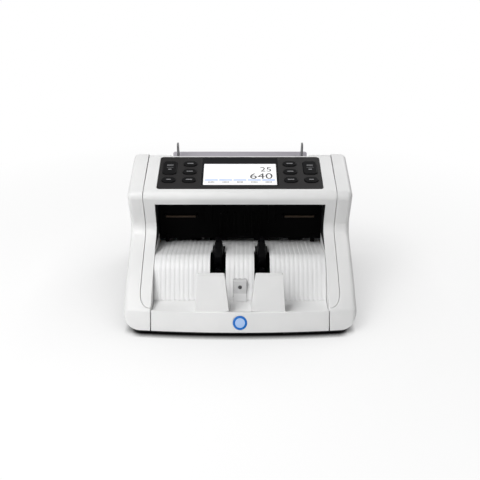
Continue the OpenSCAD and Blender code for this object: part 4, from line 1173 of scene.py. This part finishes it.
    def display(self) -> None:
        """Builds the dark glass and the lit area under it."""
        lens_length = self.lens_end - self.lens_start
        lens_middle = (self.lens_start + self.lens_end) / 2
        lit_length = self.lit_end - self.lit_start
        lit_middle = (self.lit_start + self.lit_end) / 2
        lens = rounded_plate(
            "display_glass", self.lens_width, lens_length, self.lens_thick, self.lens_corner
        )
        settle(lens, Matrix.Translation((0.0, lens_middle, 0.0)))
        hole = rounded_plate(
            "display_hole", self.lit_width, lit_length, self.hole_depth, self.lit_corner
        )
        settle(hole, Matrix.Translation((0.0, lit_middle, -self.hole_depth / 2)))
        cut_away(lens, hole)
        round_edges(lens, self.lens_edge, segments=2)
        smooth(lens)
        settle(lens, self.deck)
        self.finish_piece(lens, PANEL_GLOSS)
        lit = rounded_plate("display_face", self.lit_width, lit_length, self.lit_thick, self.lit_corner)
        settle(lit, self.on_deck(0.0, lit_middle, self.lit_level - self.lit_thick))
        round_edges(lit, self.lit_edge, segments=2)
        smooth(lit)
        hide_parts("display_window")
        self.finish_piece(lit, DISPLAY_LIT)


@dataclass
class Hopper(SubAssembly):
    """The plate that the notes lean on, its guides and the feed behind it.

    Attributes:
        plate_edge: Rounding of the plate.
        guide_edge: Rounding of the guides.
    """

    plate_edge: float = 0.3 * MM
    guide_edge: float = 0.4 * MM

    def build(self) -> None:
        """Builds the hopper's pieces."""
        self.moulded("hopper_plate", HOPPER_GREY, self.plate_edge)
        self.moulded("left_note_guide", GUIDE_GREY, self.guide_edge)
        self.moulded("right_note_guide", GUIDE_GREY, self.guide_edge)
        self.dress(FEED_RUBBER, "feed_rollers", "kicker_rollers")
        self.dress(SHAFT_STEEL, "feed_shaft")
        self.dress(PULLEY_WHITE, "feed_pulleys")
        self.dress(BELT_RUBBER, "feed_belt", "kicker_belt")


@dataclass
class Interior(SubAssembly):
    """What is seen through the stacker opening and what lies behind it.

    Attributes:
        guide_edge: Rounding of the dark guide.
    """

    guide_edge: float = 0.3 * MM

    def build(self) -> None:
        """Dresses the note path, the chassis and the drive."""
        self.moulded("upper_guide", INNER_BLACK, self.guide_edge, segments=2)
        self.dress(INNER_BLACK, "lower_guide", "retard_block")
        self.dress(ROD_BEIGE, "guide_rods")
        self.dress(PLATE_STEEL, "left_side_plate", "right_side_plate")
        self.dress(SHAFT_STEEL, "tie_rods", "drum_shaft", "motor_pulley")
        self.dress(BEARING_BRASS, "shaft_bearings")
        self.dress(MOTOR_STEEL, "drive_motor")
        self.dress(ROLLER_RUBBER, "drum_rollers", "pinch_rollers", "retard_roller")
        self.dress(PULLEY_WHITE, "drum_pulleys")
        self.dress(BELT_RUBBER, "transport_belt")
        self.dress(BOARD_GREEN, "main_board", "power_board")


@dataclass
class Base(SubAssembly):
    """The dark base plate, its feet and screws.

    Attributes:
        edge: Rounding of the plate and the feet.
    """

    edge: float = 0.4 * MM

    def build(self) -> None:
        """Builds the base."""
        self.moulded("base_plate", BASE_BLACK, self.edge)
        self.moulded("rubber_feet", FOOT_RUBBER, self.edge)
        self.dress(SHAFT_STEEL, "base_screws")


@dataclass
class RearFittings(SubAssembly):
    """The mains inlet and the rocker switch at the back.

    Attributes:
        edge: Rounding of the fittings.
    """

    edge: float = 0.3 * MM

    def build(self) -> None:
        """Builds the rear fittings."""
        for node in ("power_inlet", "switch_bezel", "power_rocker"):
            self.moulded(node, FITTING_BLACK, self.edge)


@dataclass(frozen=True)
class Lamp:
    """A soft square lamp.

    Attributes:
        name: Name of the lamp.
        place: Where it stands.
        size: Side of its square.
        power: Its power in watts.
    """

    name: str
    place: Place
    size: float
    power: float


@dataclass
class Studio:
    """Pale floor, soft light and the photograph's camera.

    Attributes:
        eye: Place of the camera.
        look_down: Angle of the camera below the horizon in degrees.
        lens: Focal length in millimetres.
        film: Width of the frame behind it in millimetres.
        aim: Middle of the machine, which the lamps face.
        lamps: The lamps.
        sky_light: Strength of the sky that lights the machine.
        floor_size: Side of the floor.
        floor_rough: Roughness of the floor.
        contact: Reach and depth of the dark line along the machine's foot.
        line_ends: Distances to the side over which the dark line eases off.
        end_depth: Depth of the dark line beyond them.
        pool: Reach and depth of the soft shadow round the machine.
        lit_share: Share of the lamps' own light in the floor that the camera sees.
        white_from: Distances over which the floor turns into the white background.
    """

    eye: Place = (0.0, -0.9592, 0.5226)
    look_down: float = 25.0
    lens: float = 58.125
    film: float = 36.0
    aim: Place = (0.0, 0.0, 0.08)
    lamps: tuple[Lamp, ...] = (
        Lamp("front_lamp", (-0.45, -0.68, 0.85), 0.6, 3.3),
        Lamp("left_lamp", (-0.50, -0.40, 1.10), 0.6, 7.6),
        Lamp("low_lamp", (-0.20, -0.95, 0.35), 0.5, 0.7),
        Lamp("rear_lamp", (0.60, 0.90, 0.90), 0.5, 4.7),
    )
    sky_light: float = 0.17
    floor_size: float = 8.0
    floor_rough: float = 0.9
    contact: Span = (0.0115, 5.0)
    line_ends: Span = (0.125, 0.137)
    end_depth: float = 1.2
    pool: Span = (0.15, 0.45)
    lit_share: float = 0.25
    white_from: Span = (0.3, 0.7)

    def build(self) -> None:
        """Builds the floor, the world, the lamps and the camera."""
        scene = bpy.context.scene
        scene.view_settings.view_transform = "Standard"
        self.floor()
        self.world(scene)
        for lamp in self.lamps:
            self.light(lamp)
        bpy.ops.object.select_all(action="DESELECT")
        tilt = math.radians(90.0 - self.look_down)
        bpy.ops.object.camera_add(location=self.eye, rotation=(tilt, 0.0, 0.0))
        camera = bpy.context.active_object
        camera.data.sensor_width = self.film
        camera.data.lens = self.lens
        scene.camera = camera

    def light(self, lamp: Lamp) -> None:
        """Adds a lamp that faces the machine.

        Args:
            lamp: The lamp.
        """
        bpy.ops.object.select_all(action="DESELECT")
        facing = (Vector(self.aim) - Vector(lamp.place)).to_track_quat("-Z", "Y").to_euler()
        bpy.ops.object.light_add(type="AREA", location=lamp.place, rotation=facing)
        made = bpy.context.active_object
        made.name = lamp.name
        made.data.size = lamp.size
        made.data.energy = lamp.power

    def foot_shade(self, tree: bpy.types.NodeTree, where: bpy.types.NodeSocket) -> bpy.types.NodeSocket:
        """Adds the shade of the floor round the machine's foot.

        Args:
            tree: The floor's tree.
            where: Socket of the place on the floor.

        Returns:
            The socket of the shade, 1 where nothing is near.
        """
        split = add_node(tree, "SeparateXYZ", {0: where})
        side = add_node(tree, "Math", {0: split["X"]}, operation="ABSOLUTE")
        line_reach, line_depth = self.contact
        start, end = self.line_ends
        eased = {"Value": side[0], "From Min": start, "From Max": end}
        eased |= {"To Min": line_depth, "To Max": self.end_depth}
        line = (line_reach, add_node(tree, "MapRange", eased)["Result"])
        shades = []
        for reach, depth in (line, self.pool):
            near = add_node(tree, "AmbientOcclusion", {"Distance": reach})["AO"]
            shades.append(add_node(tree, "Math", {0: near, 1: depth}, operation="POWER")[0])
        return add_node(tree, "Math", dict(enumerate(shades)), operation="MULTIPLY")[0]

    def floor(self) -> None:
        """Adds the pale floor, which shows white to the camera and keeps the shadow."""
        bpy.ops.object.select_all(action="DESELECT")
        bpy.ops.mesh.primitive_plane_add(size=self.floor_size)
        plane = bpy.context.active_object
        plane.name = "floor"
        paint = bpy.data.materials.new("floor_paper")
        paint.use_nodes = True
        tree = paint.node_tree
        where = add_node(tree, "TexCoord", {})["Object"]
        shade = self.foot_shade(tree, where)
        shader = tree.nodes["Principled BSDF"]
        matt = {"Base Color": shade, "Roughness": self.floor_rough, "Specular IOR Level": 0.0}
        fill_inputs(tree, shader, matt)
        lit = shader.outputs["BSDF"]
        glow = add_node(tree, "Emission", {"Color": shade})["Emission"]
        lifted = add_node(tree, "MixShader", {"Fac": self.lit_share, 1: glow, 2: lit})["Shader"]
        white = add_node(tree, "Emission", {})["Emission"]
        away = add_node(tree, "VectorMath", {0: where}, operation="LENGTH")["Value"]
        start, end = self.white_from
        fade = add_node(tree, "MapRange", {"Value": away, "From Min": start, "From Max": end})["Result"]
        ground = add_node(tree, "MixShader", {"Fac": fade, 1: lifted, 2: white})["Shader"]
        direct = add_node(tree, "LightPath", {})["Is Camera Ray"]
        seen = add_node(tree, "MixShader", {"Fac": direct, 1: lit, 2: ground})["Shader"]
        fill_inputs(tree, tree.nodes["Material Output"], {"Surface": seen})
        plane.data.materials.append(paint)

    def world(self, scene: bpy.types.Scene) -> None:
        """Sets an even grey sky that shows white, directly, in a reflection or through glass.

        Args:
            scene: The scene.
        """
        sky = scene.world or bpy.data.worlds.new("sky")
        scene.world = sky
        sky.use_nodes = True
        tree = sky.node_tree
        dim = tree.nodes["Background"]
        fill_inputs(tree, dim, {"Color": WHITE, "Strength": self.sky_light})
        white = add_node(tree, "Background", {"Color": WHITE, "Strength": 1.0})["Background"]
        path = add_node(tree, "LightPath", {})
        seen = path["Is Camera Ray"]
        for ray in ("Is Glossy Ray", "Is Transmission Ray"):
            seen = add_node(tree, "Math", {0: seen, 1: path[ray]}, operation="MAXIMUM")[0]
        choice = {"Fac": seen, 1: dim.outputs["Background"], 2: white}
        shown = add_node(tree, "MixShader", choice)["Shader"]
        fill_inputs(tree, tree.nodes["World Output"], {"Surface": shown})


def main() -> None:
    """Builds the machine's looks and the studio."""
    logging.basicConfig(level=logging.INFO, format="%(name)s: %(message)s")
    shop = FinishShop()
    for assembly in (Shell, Stacker, ControlPanel, Hopper, Interior, Base, RearFittings):
        assembly(shop).build()
    Studio().build()
    bpy.context.view_layer.update()


if __name__ == "__main__":
    main()
